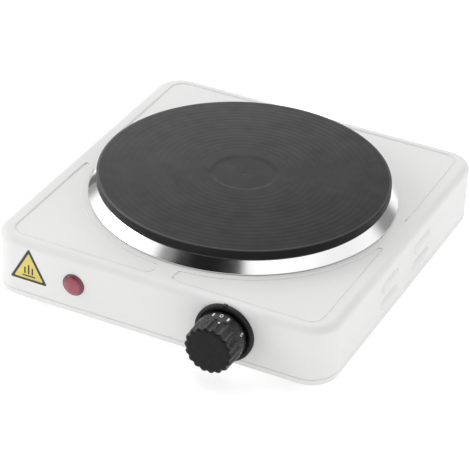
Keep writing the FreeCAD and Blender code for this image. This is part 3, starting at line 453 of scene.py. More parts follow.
def enamel(name, rgb):
    """Baked white paint: even, satin, with a trace of orange peel and faint greying."""
    finish = Finish(name)
    finish.set(IOR=1.5, Specular_IOR_Level=0.28)
    cloud = finish.noise(9.0, 3.0)
    finish.feed("Base Color", finish.tint(cloud, shade(rgb, 0.975), shade(rgb, 1.01)))
    finish.feed("Roughness", finish.spread(finish.noise(140.0, 5.0), 0.36, 0.48))
    peel = finish.bump(finish.noise(420.0, 2.0), 0.000006, 0.5)
    dust = finish.bump(finish.noise(2600.0, 2.0), 0.000003, 0.35, peel)
    finish.feed("Normal", dust)
    return finish.material


def coated_iron(name, rgb):
    """Black heat-resistant coating over a turned casting.

    The top has fine rings, a dry, mottled sheen and a painted highlight near its rim; the side is darker
    and duller, its colour darkened as painted shade.
    """
    finish = Finish(name)
    finish.set(IOR=1.5)
    where = finish.centred(BURNER)
    outward = finish.distance(finish.centred(BURNER, (1, 1, 0)))
    on_top = finish.spread(outward, 1, 0, (PLATE_RADIUS - 0.35 * MM, PLATE_RADIUS - 0.10 * MM))
    # A band just inside the rim gets a lighter tint and more sheen: a painted highlight along the rim's
    # edge.
    rim_highlight = finish.spread(outward, 0, 1, (PLATE_RADIUS - 2.0 * MM, PLATE_RADIUS - 1.0 * MM))
    cloud = finish.noise(38.0, 6.0, 0.6, where)
    face = finish.tint(cloud, shade(rgb, 0.86), shade(rgb, 1.18))
    edge = finish.tint(cloud, shade(rgb, 1.7), shade(rgb, 2.4))
    # The side's colour is darkened as painted shade.
    side = finish.tint(cloud, shade(rgb, 0.22), shade(rgb, 0.34))
    # Painted shade: the top's colour and sheen darken towards the front right, as the light falls off.
    painted_falloff = finish.add("ShaderNodeVectorMath")
    painted_falloff.operation = "DOT_PRODUCT"
    painted_falloff.inputs[1].default_value = (-0.9, 0.44, 0)
    finish.links.new(where, painted_falloff.inputs[0])
    fade = finish.spread(painted_falloff.outputs["Value"], 0.5, 1.12, (-PLATE_RADIUS, PLATE_RADIUS))
    toned = finish.scaled(finish.blend(rim_highlight, face, edge), fade)
    finish.feed("Base Color", finish.blend(on_top, side, toned))
    gain = finish.times(fade, finish.spread(rim_highlight, 1.0, 2.4, (0, 1)))
    finish.feed("Specular IOR Level", finish.scaled(finish.spread(on_top, 0.14, 0.36, (0, 1)), gain))
    finish.feed("Roughness", finish.spread(finish.noise(90.0, 5.0, 0.6, where), 0.38, 0.52))
    marks = finish.bump(finish.rings(where, "Z", Scale=260.0, Distortion=0.6, Detail=1.0), 0.00003, 0.4)
    grit = finish.bump(finish.noise(1500.0, 3.0, 0.6, where), 0.00003, 0.6, marks)
    finish.feed("Normal", grit)
    return finish.material


def polished_steel(name):
    """Pressed stainless ring: bright, with faint marks that run round it."""
    finish = Finish(name)
    finish.set(Metallic=1.0)
    where = finish.centred(BURNER)
    cloud = finish.noise(25.0, 3.0, 0.5, where)
    finish.feed("Base Color", finish.tint(cloud, (0.90, 0.90, 0.90), (0.96, 0.96, 0.955)))
    finish.feed("Roughness", finish.spread(finish.noise(60.0, 4.0, 0.5, where), 0.08, 0.17))
    marks = finish.rings(where, "Z", Scale=900.0, Distortion=1.5, Detail=2.0)
    finish.feed("Normal", finish.bump(marks, 0.000004, 0.4))
    return finish.material


def moulded(name, rgb, gloss=(0.30, 0.42), sheen=0.5, grain=900.0, height=0.00002):
    """Moulded plastic with a fine even grain."""
    finish = Finish(name)
    finish.set(IOR=1.49, Specular_IOR_Level=sheen)
    cloud = finish.noise(60.0, 3.0)
    finish.feed("Base Color", finish.tint(cloud, shade(rgb, 0.88), shade(rgb, 1.14)))
    finish.feed("Roughness", finish.spread(finish.noise(200.0, 4.0), *gloss))
    finish.feed("Normal", finish.bump(finish.noise(grain, 3.0), height, 0.5))
    return finish.material


def tinted_lens(name, rgb):
    """Clear dyed plastic over a ribbed back, deeper in colour towards its rim."""
    finish = Finish(name)
    finish.set(IOR=1.49, Transmission_Weight=0.3, Coat_Weight=0.4, Coat_Roughness=0.08)
    where = finish.centred((LENS_AXIS.x, FRONT, LENS_AXIS.z), (1, 0, 1))
    cloud = finish.noise(220.0, 3.0, 0.5)
    middle = finish.tint(cloud, shade(rgb, 0.85), shade(rgb, 1.15))
    rim = finish.tint(cloud, shade(rgb, 0.42), shade(rgb, 0.55))
    outward = finish.spread(finish.distance(where), 0, 1, (4.4 * MM, 5.8 * MM))
    finish.feed("Base Color", finish.blend(outward, middle, rim))
    finish.feed("Roughness", finish.spread(finish.noise(400.0, 3.0, 0.5, where), 0.14, 0.26))
    ribs = finish.rings(where, "Y", Scale=420.0, Distortion=0.2, Detail=1.0)
    finish.feed("Normal", finish.bump(ribs, 0.00015, 0.5))
    return finish.material


def metal(name, rgb, gloss, grain=700.0, height=0.000015):
    """Plated or rolled metal with a fine worked surface and a little dulling."""
    finish = Finish(name)
    finish.set(Metallic=1.0)
    where = finish.centred((0, 0, 0), (1, 1, 0.15))
    cloud = finish.noise(70.0, 5.0, 0.6)
    finish.feed("Base Color", finish.tint(cloud, shade(rgb, 0.82), shade(rgb, 1.08)))
    finish.feed("Roughness", finish.spread(finish.noise(160.0, 5.0, 0.6), *gloss))
    finish.feed("Normal", finish.bump(finish.noise(grain, 3.0, 0.6, where), height, 0.5))
    return finish.material


def knob_plastic(name, rgb):
    """The knob's plastic: a dull front face and glossier sides."""
    finish = Finish(name)
    finish.set(IOR=1.49)
    where = finish.centred(KNOB_AXIS)
    split = finish.add("ShaderNodeSeparateXYZ")
    finish.links.new(where, split.inputs["Vector"])
    behind_face = finish.spread(split.outputs["Y"], 0, 1, (KNOB_LOW.y + 0.2 * MM, KNOB_LOW.y + 1.5 * MM))
    cloud = finish.noise(60.0, 3.0, 0.55, where)
    finish.feed("Base Color", finish.tint(cloud, shade(rgb, 0.8), shade(rgb, 1.15)))
    finish.feed("Specular IOR Level", finish.spread(behind_face, 0.16, 0.55))
    finish.feed("Roughness", finish.spread(finish.noise(300.0, 4.0, 0.55, where), 0.2, 0.34))
    finish.feed("Normal", finish.bump(finish.noise(900.0, 3.0, 0.6, where), 0.00002, 0.4))
    return finish.material


def matte(name, rgb, gloss=(0.55, 0.8), grain=1400.0, height=0.00004, cloud_scale=80.0):
    """Ceramic, cement, rubber or sleeving: dull, speckled and slightly rough."""
    finish = Finish(name)
    cloud = finish.noise(cloud_scale, 6.0, 0.65)
    finish.feed("Base Color", finish.tint(cloud, shade(rgb, 0.84), shade(rgb, 1.08)))
    finish.feed("Roughness", finish.spread(finish.noise(300.0, 4.0), *gloss))
    finish.feed("Normal", finish.bump(finish.noise(grain, 4.0, 0.7), height, 0.7))
    return finish.material


def braided(name, rgb):
    """Woven glass-fibre sleeving: two crossing sets of fine ribs."""
    finish = Finish(name)
    finish.set(Sheen_Weight=0.3, Sheen_Roughness=0.5)
    ribs = []
    for slope in (1, -1):
        wave = finish.add("ShaderNodeTexWave", Scale=330.0, Distortion=1.0, Detail=1.0)
        wave.wave_type = "BANDS"
        wave.bands_direction = "DIAGONAL"
        where = finish.centred((0, 0, 0), (1, slope, slope))
        finish.links.new(where, wave.inputs["Vector"])
        ribs.append(wave.outputs["Fac"])
    weave = finish.add("ShaderNodeMath")
    weave.operation = "MAXIMUM"
    finish.links.new(ribs[0], weave.inputs[0])
    finish.links.new(ribs[1], weave.inputs[1])
    cloth = weave.outputs["Value"]
    finish.feed("Base Color", finish.tint(cloth, shade(rgb, 0.62), shade(rgb, 1.05), (0.2, 0.8)))
    finish.feed("Roughness", finish.spread(finish.noise(500.0, 3.0), 0.6, 0.85))
    finish.feed("Normal", finish.bump(cloth, 0.0001, 0.6))
    return finish.material


def clear_glass(name):
    finish = Finish(name)
    finish.set(Transmission_Weight=1.0, IOR=1.46)
    finish.feed("Base Color", finish.tint(finish.noise(300.0), (0.93, 0.90, 0.86), (1.0, 0.98, 0.95)))
    finish.feed("Roughness", finish.spread(finish.noise(250.0), 0.02, 0.07))
    return finish.material


def carried_finishes():
    """A finish for each material slot of the parts that keep their engineering shape."""
    return {
        "zinc_steel": metal("zinc_steel", (0.62, 0.62, 0.60), (0.28, 0.42)),
        "shield_steel": metal("shield_steel", (0.70, 0.71, 0.71), (0.35, 0.5), 260.0, 0.00002),
        "spring_steel": metal("spring_steel", (0.50, 0.50, 0.50), (0.2, 0.32)),
        "coil_wire": metal("coil_wire", (0.26, 0.24, 0.22), (0.45, 0.6), 1800.0, 0.00006),
        "brass": metal("brass", (0.72, 0.56, 0.28), (0.22, 0.36)),
        "silver_contact": metal("silver_contact", (0.80, 0.80, 0.78), (0.18, 0.3)),
        "porcelain": matte("porcelain", (0.80, 0.77, 0.70), (0.4, 0.6)),
        "cement": matte("cement", (0.62, 0.60, 0.54), (0.8, 0.95), 700.0, 0.00012),
        "lamp_plastic": moulded("lamp_plastic", (0.70, 0.69, 0.64)),
        "lamp_glass": clear_glass("lamp_glass"),
        "wire_sleeve_white": braided("wire_sleeve_white", (0.80, 0.78, 0.72)),
        "wire_sleeve_brown": braided("wire_sleeve_brown", (0.26, 0.13, 0.07)),
        "wire_sleeve_blue": braided("wire_sleeve_blue", (0.07, 0.15, 0.40)),
        "wire_sleeve_green": braided("wire_sleeve_green", (0.20, 0.42, 0.10)),
    }


# --------------------------------------------------------------------------------- casing

def panel_cutters(sizes):
    """The four pressed panels as soft-edged blocks that are cut out of the top."""
    floor = TOP - sizes.panel_depth
    high = TOP + 3 * MM
    block = rounded_block(sizes.panel_width, sizes.panel_reach, sizes.panel_corner, floor, high)
    tools = [
        cylinder((0, BURNER.y, floor - MM), sizes.panel_ring, 8 * MM, segments=240),
        cuboid((-sizes.rib, FRONT, floor - MM), (sizes.rib, REAR, high + MM)),
        cuboid(
            (CASE_LOW.x, BURNER.y - sizes.side_rib, floor - MM),
            (CASE_HIGH.x, BURNER.y + sizes.side_rib, high + MM),
        ),
    ]
    bm = combine(block, tools, "DIFFERENCE")
    bmesh.ops.remove_doubles(bm, verts=bm.verts, dist=1e-6)
    ends = edges_where(bm, lambda e: is_upright(e) and abs(abs(e.verts[0].co.x) - sizes.rib) < 1e-5)
    bevel(bm, ends, 4.9 * MM, 8)
    tips = edges_where(
        bm,
        lambda e: is_upright(e) and abs(abs(e.verts[0].co.y - BURNER.y) - sizes.side_rib) < 1e-5,
    )
    bevel(bm, tips, 1.1 * MM, 4)
    bevel(bm, edges_where(bm, lambda e: is_at(e, floor)), 0.2 * MM, 2)
    return bm


def crease_path(sizes, side, end):
    """Points of the pressed crease along one panel's outer edges, with how deep it is at each.

    It starts at the front or back rib, turns the panel's corner and ends at the side rib.
    side is 1 on the right and end is 1 at the back.
    """
    hook = 5 * MM
    edge_y = CASE_MIDDLE + end * (sizes.panel_reach + CLEAR)
    edge_x = side * (sizes.panel_width + CLEAR)
    start_x = side * (sizes.rib - CLEAR)
    path = [(start_x, edge_y - end * (hook + 3 * MM), 0.1), (start_x, edge_y - end * (hook + MM), 0.5)]

    def turn(x, y, radius, first, last, count, depth):
        for i in range(count + 1):
            angle = math.radians(first + (last - first) * i / count)
            spot = (x + side * radius * math.cos(angle), y + end * radius * math.sin(angle))
            path.append((*spot, depth))

    turn(start_x + side * hook, edge_y - end * hook, hook, 180, 90, 8, 0.95)
    for share in (0.25, 0.5, 0.75):
        run = sizes.panel_width - sizes.panel_corner - sizes.rib - hook
        path.append((start_x + side * (hook + run * share), edge_y, 1 - 0.1 * share))
    corner = sizes.panel_corner
    turn(edge_x - side * corner, edge_y - end * corner, corner, 90, 0, 10, 0.9)
    reach = abs(edge_y - end * corner - BURNER.y) - sizes.side_rib
    for share in (0.25, 0.5, 0.75, 0.95):
        path.append((edge_x, edge_y - end * (corner + reach * share), 0.9 + 0.1 * share))
    path.append((edge_x, BURNER.y + end * (sizes.side_rib - 1.5 * MM), 0.1))
    return path


def make_crease(sizes, side, end):
    """The tool that cuts one crease: a diamond drawn along the path, its middle at the top."""
    path = crease_path(sizes, side, end)
    count = len(path) - 1
    bm = bmesh.new()
    bmesh.ops.create_cone(bm, cap_ends=True, segments=4, radius1=1, radius2=1, depth=count)
    runs = edges_where(bm, lambda e: e.calc_length() > count - 0.1)
    bmesh.ops.subdivide_edges(bm, edges=runs, cuts=count - 1, use_grid_fill=True)
    for vert in bm.verts:
        i = round(vert.co.z + count / 2)
        x, y, depth = path[i]
        before, after = path[max(i - 1, 0)], path[min(i + 1, count)]
        run = Vector((after[0] - before[0], after[1] - before[1], 0)).normalized()
        across = run.cross(UP)
        size = sizes.crease * depth
        vert.co = Vector((x, y, TOP + CLEAR)) + (across * vert.co.x + UP * vert.co.y) * size
    bmesh.ops.recalc_face_normals(bm, faces=bm.faces)
    if bm.calc_volume(signed=True) < 0:
        bmesh.ops.reverse_faces(bm, faces=bm.faces)
    return bm


def pod(centre, radii, stretch):
    """A smooth bump drawn out along Y, cut off below its middle height."""
    bm = bmesh.new()
    bmesh.ops.create_uvsphere(bm, u_segments=48, v_segments=32, radius=1)
    for vert in bm.verts:
        vert.co.x *= abs(vert.co.x)
    bmesh.ops.scale(bm, vec=radii, verts=bm.verts)
    cut = bmesh.ops.bisect_plane(
        bm,
        geom=bm.verts[:] + bm.edges[:] + bm.faces[:],
        plane_co=(0, 0, 0),
        plane_no=(0, 0, -1),
        clear_outer=True,
    )
    rim = [part for part in cut["geom_cut"] if isinstance(part, bmesh.types.BMEdge)]
    bmesh.ops.holes_fill(bm, edges=rim, sides=0)
    for vert in bm.verts:
        vert.co.y += math.copysign(stretch, vert.co.y) if abs(vert.co.y) > 1e-7 else 0
    bmesh.ops.translate(bm, vec=centre, verts=bm.verts)
    bmesh.ops.recalc_face_normals(bm, faces=bm.faces)
    return bm


def louvre_parts(side, along, level, sizes):
    """One pressed hood, and the gaps under and behind it. side is 1 on the right."""
    face = side * CASE_WIDTH / 2
    end = 4 * MM
    stretch = sizes.louvre / 2 - end
    height = 5.2 * MM
    reach = 1.4 * MM
    skin = 0.6 * MM
    centre = Vector((face, CASE_MIDDLE + along, level - height / 2))
    hood = pod(centre, (reach, end, height), stretch)
    under = pod(centre - Vector((0, 0, 0.2 * MM)), (reach - skin, end - skin, height - skin), stretch)
    through = face - side * 2 * MM
    behind = cuboid(
        (min(face, through), centre.y - stretch - end / 2, centre.z - 0.2 * MM),
        (max(face, through), centre.y + stretch + end / 2, centre.z + height / 2),
    )
    outside, sunk = face + side * MM, face - side * 0.45 * MM
    recess = cuboid(
        (min(outside, sunk), centre.y - stretch, centre.z - 2.2 * MM),
        (max(outside, sunk), centre.y + stretch, centre.z),
    )
    return hood, [under, behind, recess]


def louvre_spots():
    """Two rows of two on each side: the side, the place along the case and the height."""
    rows = (14.4 * MM, 26.7 * MM)
    columns = (-26 * MM, 25 * MM)
    for side in (1, -1):
        for row in rows:
            for column in columns:
                yield side, column, PAN_BASE + row


def make_housing(sizes, paint):
    bottom = PAN_RIM + SEAM
    shell = rounded_block(CASE_WIDTH / 2, CASE_DEPTH / 2, sizes.corner, bottom, TOP, 18)
    bevel(shell, edges_where(shell, lambda e: is_at(e, TOP)), sizes.top_round, 8)
    hoods, slots = [], []
    for side, along, level in louvre_spots():
        hood, gaps = louvre_parts(side, along, level, sizes)
        hoods.append(hood)
        slots.extend(gaps)
    shell = combine(shell, hoods, "UNION")

    # The inside, with a step at the bottom where the skirt stands inside the pan's rim.
    ceiling = TOP - WALL - sizes.crease
    hollow = inset_block(WALL, sizes.corner, bottom + WALL, ceiling)
    bevel(hollow, edges_where(hollow, lambda e: is_at(e, ceiling)), sizes.top_round - WALL, 6)
    skirt_inset = 0.9 * MM
    skirt_low = HOUSING_LOW.z
    skirt = inset_block(skirt_inset, sizes.corner, skirt_low, bottom + WALL / 2)
    throat = inset_block(skirt_inset + WALL, sizes.corner, skirt_low - MM, bottom + 2 * WALL)
    shell = combine(shell, [skirt], "UNION")
    shell = combine(shell, [hollow, throat, *slots], "DIFFERENCE")
    burner_hole, lens_hole, bush_hole, gland_hole = 90 * MM, 6.3 * MM, 5.2 * MM, 6.5 * MM
    through = 8 * MM
    before, behind = FRONT - 3 * MM, REAR - 4 * MM
    holes = [
        *(make_crease(sizes, side, end) for side in (1, -1) for end in (1, -1)),
        panel_cutters(sizes),
        cylinder((0, BURNER.y, TOP - 6 * MM), burner_hole, 10 * MM, segments=180),
        cylinder((LENS_AXIS.x, before, LENS_AXIS.z), lens_hole, through, "Y", 48),
        cylinder((KNOB_AXIS.x, before, KNOB_AXIS.z), bush_hole, through, "Y", 48),
        cylinder((GLAND_AXIS.x, behind, GLAND_AXIS.z), gland_hole, through, "Y", 48),
    ]
    shell = combine(shell, holes, "DIFFERENCE")
    bmesh.ops.remove_doubles(shell, verts=shell.verts, dist=1e-6)
    piece("housing_shell", shell, "root", paint, ["housing"], sharp=30, soften=0.12 * MM)


def make_base_pan(sizes, paint):
    tray = rounded_block(CASE_WIDTH / 2, CASE_DEPTH / 2, sizes.corner, PAN_BASE, PAN_RIM, 18)
    bevel(tray, edges_where(tray, lambda e: is_at(e, PAN_BASE)), 1.6 * MM, 5)
    holes = [inset_block(WALL, sizes.corner, PAN_BASE + WALL, PAN_RIM + 2 * MM)]
    screws = [(f"foot_{name}", 2.3 * MM) for name in FEET] + [("earth_nut", 2.05 * MM)]
    for node, hole in screws:
        low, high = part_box(node)
        middle = (low + high) / 2
        holes.append(cylinder((middle.x, middle.y, PAN_BASE - MM), hole, 4 * MM, segments=32))
    vents, vent_pitch = 7, 14 * MM
    half_wide, half_long = 2 * MM, 21 * MM
    for row in (-58 * MM, 50 * MM):
        for i in range(vents):
            x = (i - (vents - 1) / 2) * vent_pitch
            y = CASE_MIDDLE + row
            vent = cuboid(
                (x - half_wide, y - half_long, PAN_BASE - MM),
                (x + half_wide, y + half_long, PAN_BASE + 3 * MM),
            )
            bevel(vent, edges_where(vent, is_upright), half_wide - 0.1 * MM, 5)
            holes.append(vent)
    tray = combine(tray, holes, "DIFFERENCE")
    bmesh.ops.remove_doubles(tray, verts=tray.verts, dist=1e-6)
    piece("base_pan_tray", tray, "root", paint, ["base_pan"], sharp=30, soften=0.2 * MM)


def make_feet(rubber):
    for name in FEET:
        low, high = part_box(f"foot_{name}")
        middle = ((low.x + high.x) / 2, (low.y + high.y) / 2, 0)
        radius = (high.x - low.x) / 2
        tall = high.z
        profile = [(2.4 * MM, tall), (2.4 * MM, 4.2 * MM), (5 * MM, 4.2 * MM), (5 * MM, 0.5 * MM)]
        profile += [(5.5 * MM, 0)]
        profile += arc((radius - 1.2 * MM, 1.2 * MM), 1.2 * MM, -90, 0, 5)
        profile += [(radius - 0.1 * MM, 3 * MM), (radius - 0.6 * MM, 3.4 * MM)]
        profile += [(radius - 0.6 * MM, 4.0 * MM), (radius - 0.2 * MM, 4.4 * MM)]
        profile += arc((radius - 1.4 * MM, tall - 0.8 * MM), 0.8 * MM, 0, 90, 4)
        foot = turned(profile, middle, steps=64, closed=True)
        piece(f"rubber_foot_{name}", foot, "root", rubber, [f"foot_{name}"], sharp=40)


# --------------------------------------------------------------------------------- burner

def make_plate(sizes, iron):
    top = PLATE_TOP
    radius = PLATE_RADIUS
    dimple = sizes.dimple
    deep = sizes.dimple_depth
    profile = [(0, top - deep - 0.15 * MM), (1.6 * MM, top - deep - 0.15 * MM), (2.2 * MM, top - deep)]
    profile += [(dimple - 3.4 * MM, top - deep), (dimple - 2.2 * MM, top - deep * 0.85)]
    profile += [(dimple - 0.6 * MM, top - deep * 0.2), (dimple, top - deep * 0.05)]
    profile += [(dimple + 0.6 * MM, top)]
    # Each turned ring is one wave of a cosine, half_ring millimetres either side of its middle.
    ring = sizes.first_ring
    half_ring = 1.5
    while ring < radius - 2.2 * MM:
        for step in (-half_ring, -0.95, -0.45, 0, 0.45, 0.95, half_ring):
            sink = sizes.ring_depth * (0.5 + 0.5 * math.cos(math.pi * step / half_ring))
            profile.append((ring + step * MM, top - sink))
        ring += sizes.ring_pitch
    profile += arc((radius - 1.1 * MM, top - 1.1 * MM), 1.1 * MM, 90, 0, 6)
    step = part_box("trim_ring")[1].z
    lower = 86 * MM
    profile += [(radius, step + 0.8 * MM), (radius - 0.5 * MM, step), (lower, step)]
    base = PLATE_LOW.z
    profile += [(lower, base + 0.5 * MM), (lower - 0.5 * MM, base)]
    # The three channels that hold the coils.
    half, roof = 6 * MM, base + 8 * MM
    for middle in (72 * MM, 56 * MM, 40 * MM):
        profile += [(middle + half, base), (middle + half, roof)]
        profile += [(middle - half, roof), (middle - half, base)]
    profile += [(28 * MM, base), (24 * MM, top - 12 * MM), (12 * MM, top - 12 * MM), (12 * MM, base)]
    profile += [(4 * MM, base), (4 * MM, top - 9 * MM), (0, top - 9 * MM)]
    plate = turned(profile, (0, BURNER.y, 0), steps=160)
    piece("burner_plate", plate, "root", iron, ["hotplate"], sharp=50)


def make_trim(steel):
    low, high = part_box("trim_ring")
    outer = (high.x - low.x) / 2
    rise = high.z
    base = low.z
    skin = 0.6 * MM
    inner = 87 * MM
    gap = 0.4 * MM
    hem = 0.35 * MM
    brow = outer - 7.1 * MM
    shoulder = arc((brow, rise - 0.8 * MM), 0.8 * MM, 80, 45, 4)
    foot = arc((outer - hem, base + gap + hem), hem, 45, -90, 6)
    slope = [
        tuple(a + (b - a) * share for a, b in zip(shoulder[-1], foot[0])) for share in (0.06, 0.5, 0.94)
    ]
    outside = [(inner, rise), (brow, rise), *shoulder, *slope, *foot]
    inside = [(outer - 1.3 * MM, base + gap), (outer - 1.4 * MM, base), (outer - 2.0 * MM, base)]
    inside += [(outer - 2.2 * MM, base + 1.4 * MM)]
    inside += [(brow - skin, rise - skin - 0.5 * MM), (brow - skin - 0.4 * MM, rise - skin)]
    inside += [(inner, rise - skin)]
    ring = turned(outside + inside, (0, BURNER.y, 0), steps=200, closed=True)
    piece("trim_band", ring, "root", steel, ["trim_ring"], sharp=50)


# ------------------------------------------------------------------------- knob and bezel

def knob_shell(sizes):
    """The knob: a fluted grip in front of a smooth skirt, hollow at the back."""
    front = KNOB_LOW.y
    back = KNOB_HIGH.y
    radius = (KNOB_HIGH.x - KNOB_LOW.x) / 2
    skirt_front = back - sizes.skirt
    per_flute = 12
    count = sizes.flutes * per_flute
    bm = bmesh.new()
    bmesh.ops.create_circle(bm, cap_ends=False, segments=count, radius=1)
    bmesh.ops.rotate(bm, cent=(0, 0, 0), matrix=Matrix.Rotation(math.radians(90), 3, "X"), verts=bm.verts)

    def section(verts, outer, cut, y):
        for vert in verts:
            angle = math.atan2(vert.co.z, vert.co.x)
            wave = 0.5 + 0.5 * math.cos(sizes.flutes * angle)
            reach = outer - cut * (1 - wave ** 0.8)
            vert.co = Vector((math.cos(angle) * reach, y, math.sin(angle) * reach))

    def next_section(edges, outer, cut, y):
        grown = bmesh.ops.extrude_edge_only(bm, edges=edges)["geom"]
        verts = [part for part in grown if isinstance(part, bmesh.types.BMVert)]
        section(verts, outer, cut, y)
        return [part for part in grown if isinstance(part, bmesh.types.BMEdge)]

    grip = radius - 0.25 * MM
    cut = sizes.flute_depth
    loop = bm.edges[:]
    section(bm.verts[:], grip - 3.4 * MM, cut * 0.15, front + 0.02 * MM)
    steps = [
        (grip - 2.3 * MM, cut * 0.4, front + 0.12 * MM),
        (grip - 1.4 * MM, cut * 0.65, front + 0.36 * MM),
        (grip - 0.7 * MM, cut * 0.85, front + 0.8 * MM),
        (grip - 0.22 * MM, cut * 0.95, front + 1.45 * MM),
        (grip, cut, front + 2.3 * MM),
        (grip, cut, skirt_front - 1.6 * MM),
        (grip + 0.02 * MM, cut * 0.7, skirt_front - 0.7 * MM),
        (grip + 0.1 * MM, cut * 0.25, skirt_front - 0.2 * MM),
        (radius - 0.05 * MM, 0, skirt_front),
        (radius, 0, skirt_front + 0.4 * MM),
        (radius, 0, back - 0.5 * MM),
        (radius - 0.15 * MM, 0, back - 0.12 * MM),
        (radius - 0.5 * MM, 0, back),
        (radius - 1.6 * MM, 0, back),
        (radius - 2.2 * MM, 0, front + 4 * MM),
        (6 * MM, 0, front + 4 * MM),
        (6 * MM, 0, back - MM),
        (3.02 * MM, 0, back - MM),
        (3.02 * MM, 0, front + 3 * MM),
    ]
    for outer, groove, y in steps:
        loop = next_section(loop, outer, groove, y)
    bmesh.ops.holes_fill(bm, edges=bm.edges, sides=0)
    caps = [face for face in bm.faces if len(face.verts) == count]
    face = min(caps, key=lambda cap: cap.calc_center_median().y)
    bmesh.ops.inset_region(bm, faces=[face], thickness=3 * MM, depth=0.02 * MM)
    bmesh.ops.translate(bm, vec=KNOB_AXIS, verts=bm.verts)
    bmesh.ops.recalc_face_normals(bm, faces=bm.faces)
    return bm


def make_knob(sizes, plastic, ink):
    front = KNOB_LOW.y
    back = KNOB_HIGH.y
    radius = (KNOB_HIGH.x - KNOB_LOW.x) / 2
    piece("knob_body", knob_shell(sizes), "control", plastic, ["knob"], sharp=48)

    # Raised pointer along the grip.
    wedge = cuboid(
        (-1.25 * MM, front + 1.2 * MM, radius - 3 * MM),
        (1.25 * MM, front + 8.4 * MM, radius - 0.05 * MM),
    )
    for vert in wedge.verts:
        if vert.co.y > front + 5 * MM:
            vert.co.x *= 0.3
    bevel(wedge, wedge.edges[:], 0.35 * MM, 3)
    turn = Matrix.Rotation(POINTER_TURN, 4, "Y")
    bmesh.ops.transform(wedge, matrix=Matrix.Translation(KNOB_AXIS) @ turn, verts=wedge.verts)
    piece("knob_pointer", wedge, "control", plastic, sharp=40)
    make_marks(sizes, ink, radius, back)
    make_mark_bars(ink, radius, back, sizes.skirt)


def make_marks(sizes, ink, radius, back):
    """Printed numbers round the skirt."""
    skirt_middle = back - sizes.skirt / 2
    first_angle, pitch = 3, 60
    for i, numeral in enumerate("012345"):
        curve = bpy.data.curves.new(f"mark_{numeral}", "FONT")
        curve.body = numeral
        curve.size = 4.4 * MM
        curve.align_x = "CENTER"
        curve.align_y = "CENTER"
        curve.extrude = 0.04 * MM
        text = bpy.data.objects.new(f"mark_{numeral}", curve)
        bpy.context.scene.collection.objects.link(text)
        graph = bpy.context.evaluated_depsgraph_get()
        mesh = bpy.data.meshes.new_from_object(text.evaluated_get(graph))
        bpy.data.objects.remove(text)
        bpy.data.curves.remove(curve)
        bm = bmesh.new()
        bm.from_mesh(mesh)
        bpy.data.meshes.remove(mesh)
        bmesh.ops.remove_doubles(bm, verts=bm.verts, dist=1e-7)
        bmesh.ops.bisect_plane(
            bm, geom=bm.verts[:] + bm.edges[:] + bm.faces[:], plane_co=(0, 0, 0), plane_no=(1, 0, 0)
        )
        # Lay the flat figure round the skirt: x becomes the angle, y runs towards the back.
        base = math.radians(first_angle - pitch * i)
        for vert in bm.verts:
            turn = base + vert.co.x / radius
            reach = radius + 0.01 * MM + vert.co.z
            vert.co = Vector(
                (
                    KNOB_AXIS.x + reach * math.sin(turn),
                    skirt_middle + vert.co.y,
                    KNOB_AXIS.z + reach * math.cos(turn),
                )
            )
        bmesh.ops.recalc_face_normals(bm, faces=bm.faces)
        piece(f"knob_mark_{numeral}", bm, "control", ink, sharp=30)


def make_mark_bars(ink, radius, back, skirt):
    """Two short printed bars beside the off mark, and a dot on the grip."""
    shapes = []
    for angle in (-15, 20):
        bar = cuboid(
            (-0.55 * MM, back - skirt * 0.72, radius - 0.3 * MM),
            (0.55 * MM, back - skirt * 0.34, radius + 0.05 * MM),
        )
        turn = Matrix.Rotation(math.radians(angle), 4, "Y")
        bmesh.ops.transform(bar, matrix=Matrix.Translation(KNOB_AXIS) @ turn, verts=bar.verts)
        shapes.append(bar)
    dot = bmesh.new()
    bmesh.ops.create_uvsphere(dot, u_segments=24, v_segments=12, radius=0.75 * MM)
    bmesh.ops.scale(dot, vec=(1, 1, 0.4), verts=dot.verts)
    bmesh.ops.translate(dot, vec=(0, back - skirt - 2.4 * MM, radius - 0.45 * MM), verts=dot.verts)
    turn = Matrix.Rotation(POINTER_TURN, 4, "Y")
    bmesh.ops.transform(dot, matrix=Matrix.Translation(KNOB_AXIS) @ turn, verts=dot.verts)
    shapes.append(dot)
    piece("knob_mark_bars", merged(*shapes), "control", ink, sharp=30)


def make_bezel(plastic):
    radius = (BEZEL_HIGH.x - BEZEL_LOW.x) / 2
    face = BEZEL_LOW.y
    back = BEZEL_HIGH.y
    rise = back - face
    # Heights run towards the back, so the profile's height is measured from the face.
    outside = [(5.3 * MM, rise), (5.3 * MM, 1.6 * MM), (15.9 * MM, 1.6 * MM), (16.3 * MM, 1.5 * MM)]
    outside += [(16.6 * MM, 0.3 * MM), (16.9 * MM, 0.05 * MM), (17.2 * MM, 0)]
    outside += arc((radius - 0.9 * MM, 0.9 * MM), 0.9 * MM, -90, 0, 5)
    outside += [(radius, rise)]
    disc = turned(outside, (KNOB_AXIS.x, face, KNOB_AXIS.z), "Y", 144, closed=True)
    nib = cuboid(
        (KNOB_AXIS.x - 1.3 * MM, face, KNOB_AXIS.z + radius - 1.2 * MM),
        (KNOB_AXIS.x + 1.3 * MM, back, BEZEL_HIGH.z),
    )
    bevel(nib, nib.edges[:], 0.4 * MM, 3)
    piece("bezel_disc", merged(disc, nib), "root", plastic, ["bezel"], sharp=40)


# ------------------------------------------------------------- lamp, label and cord entry

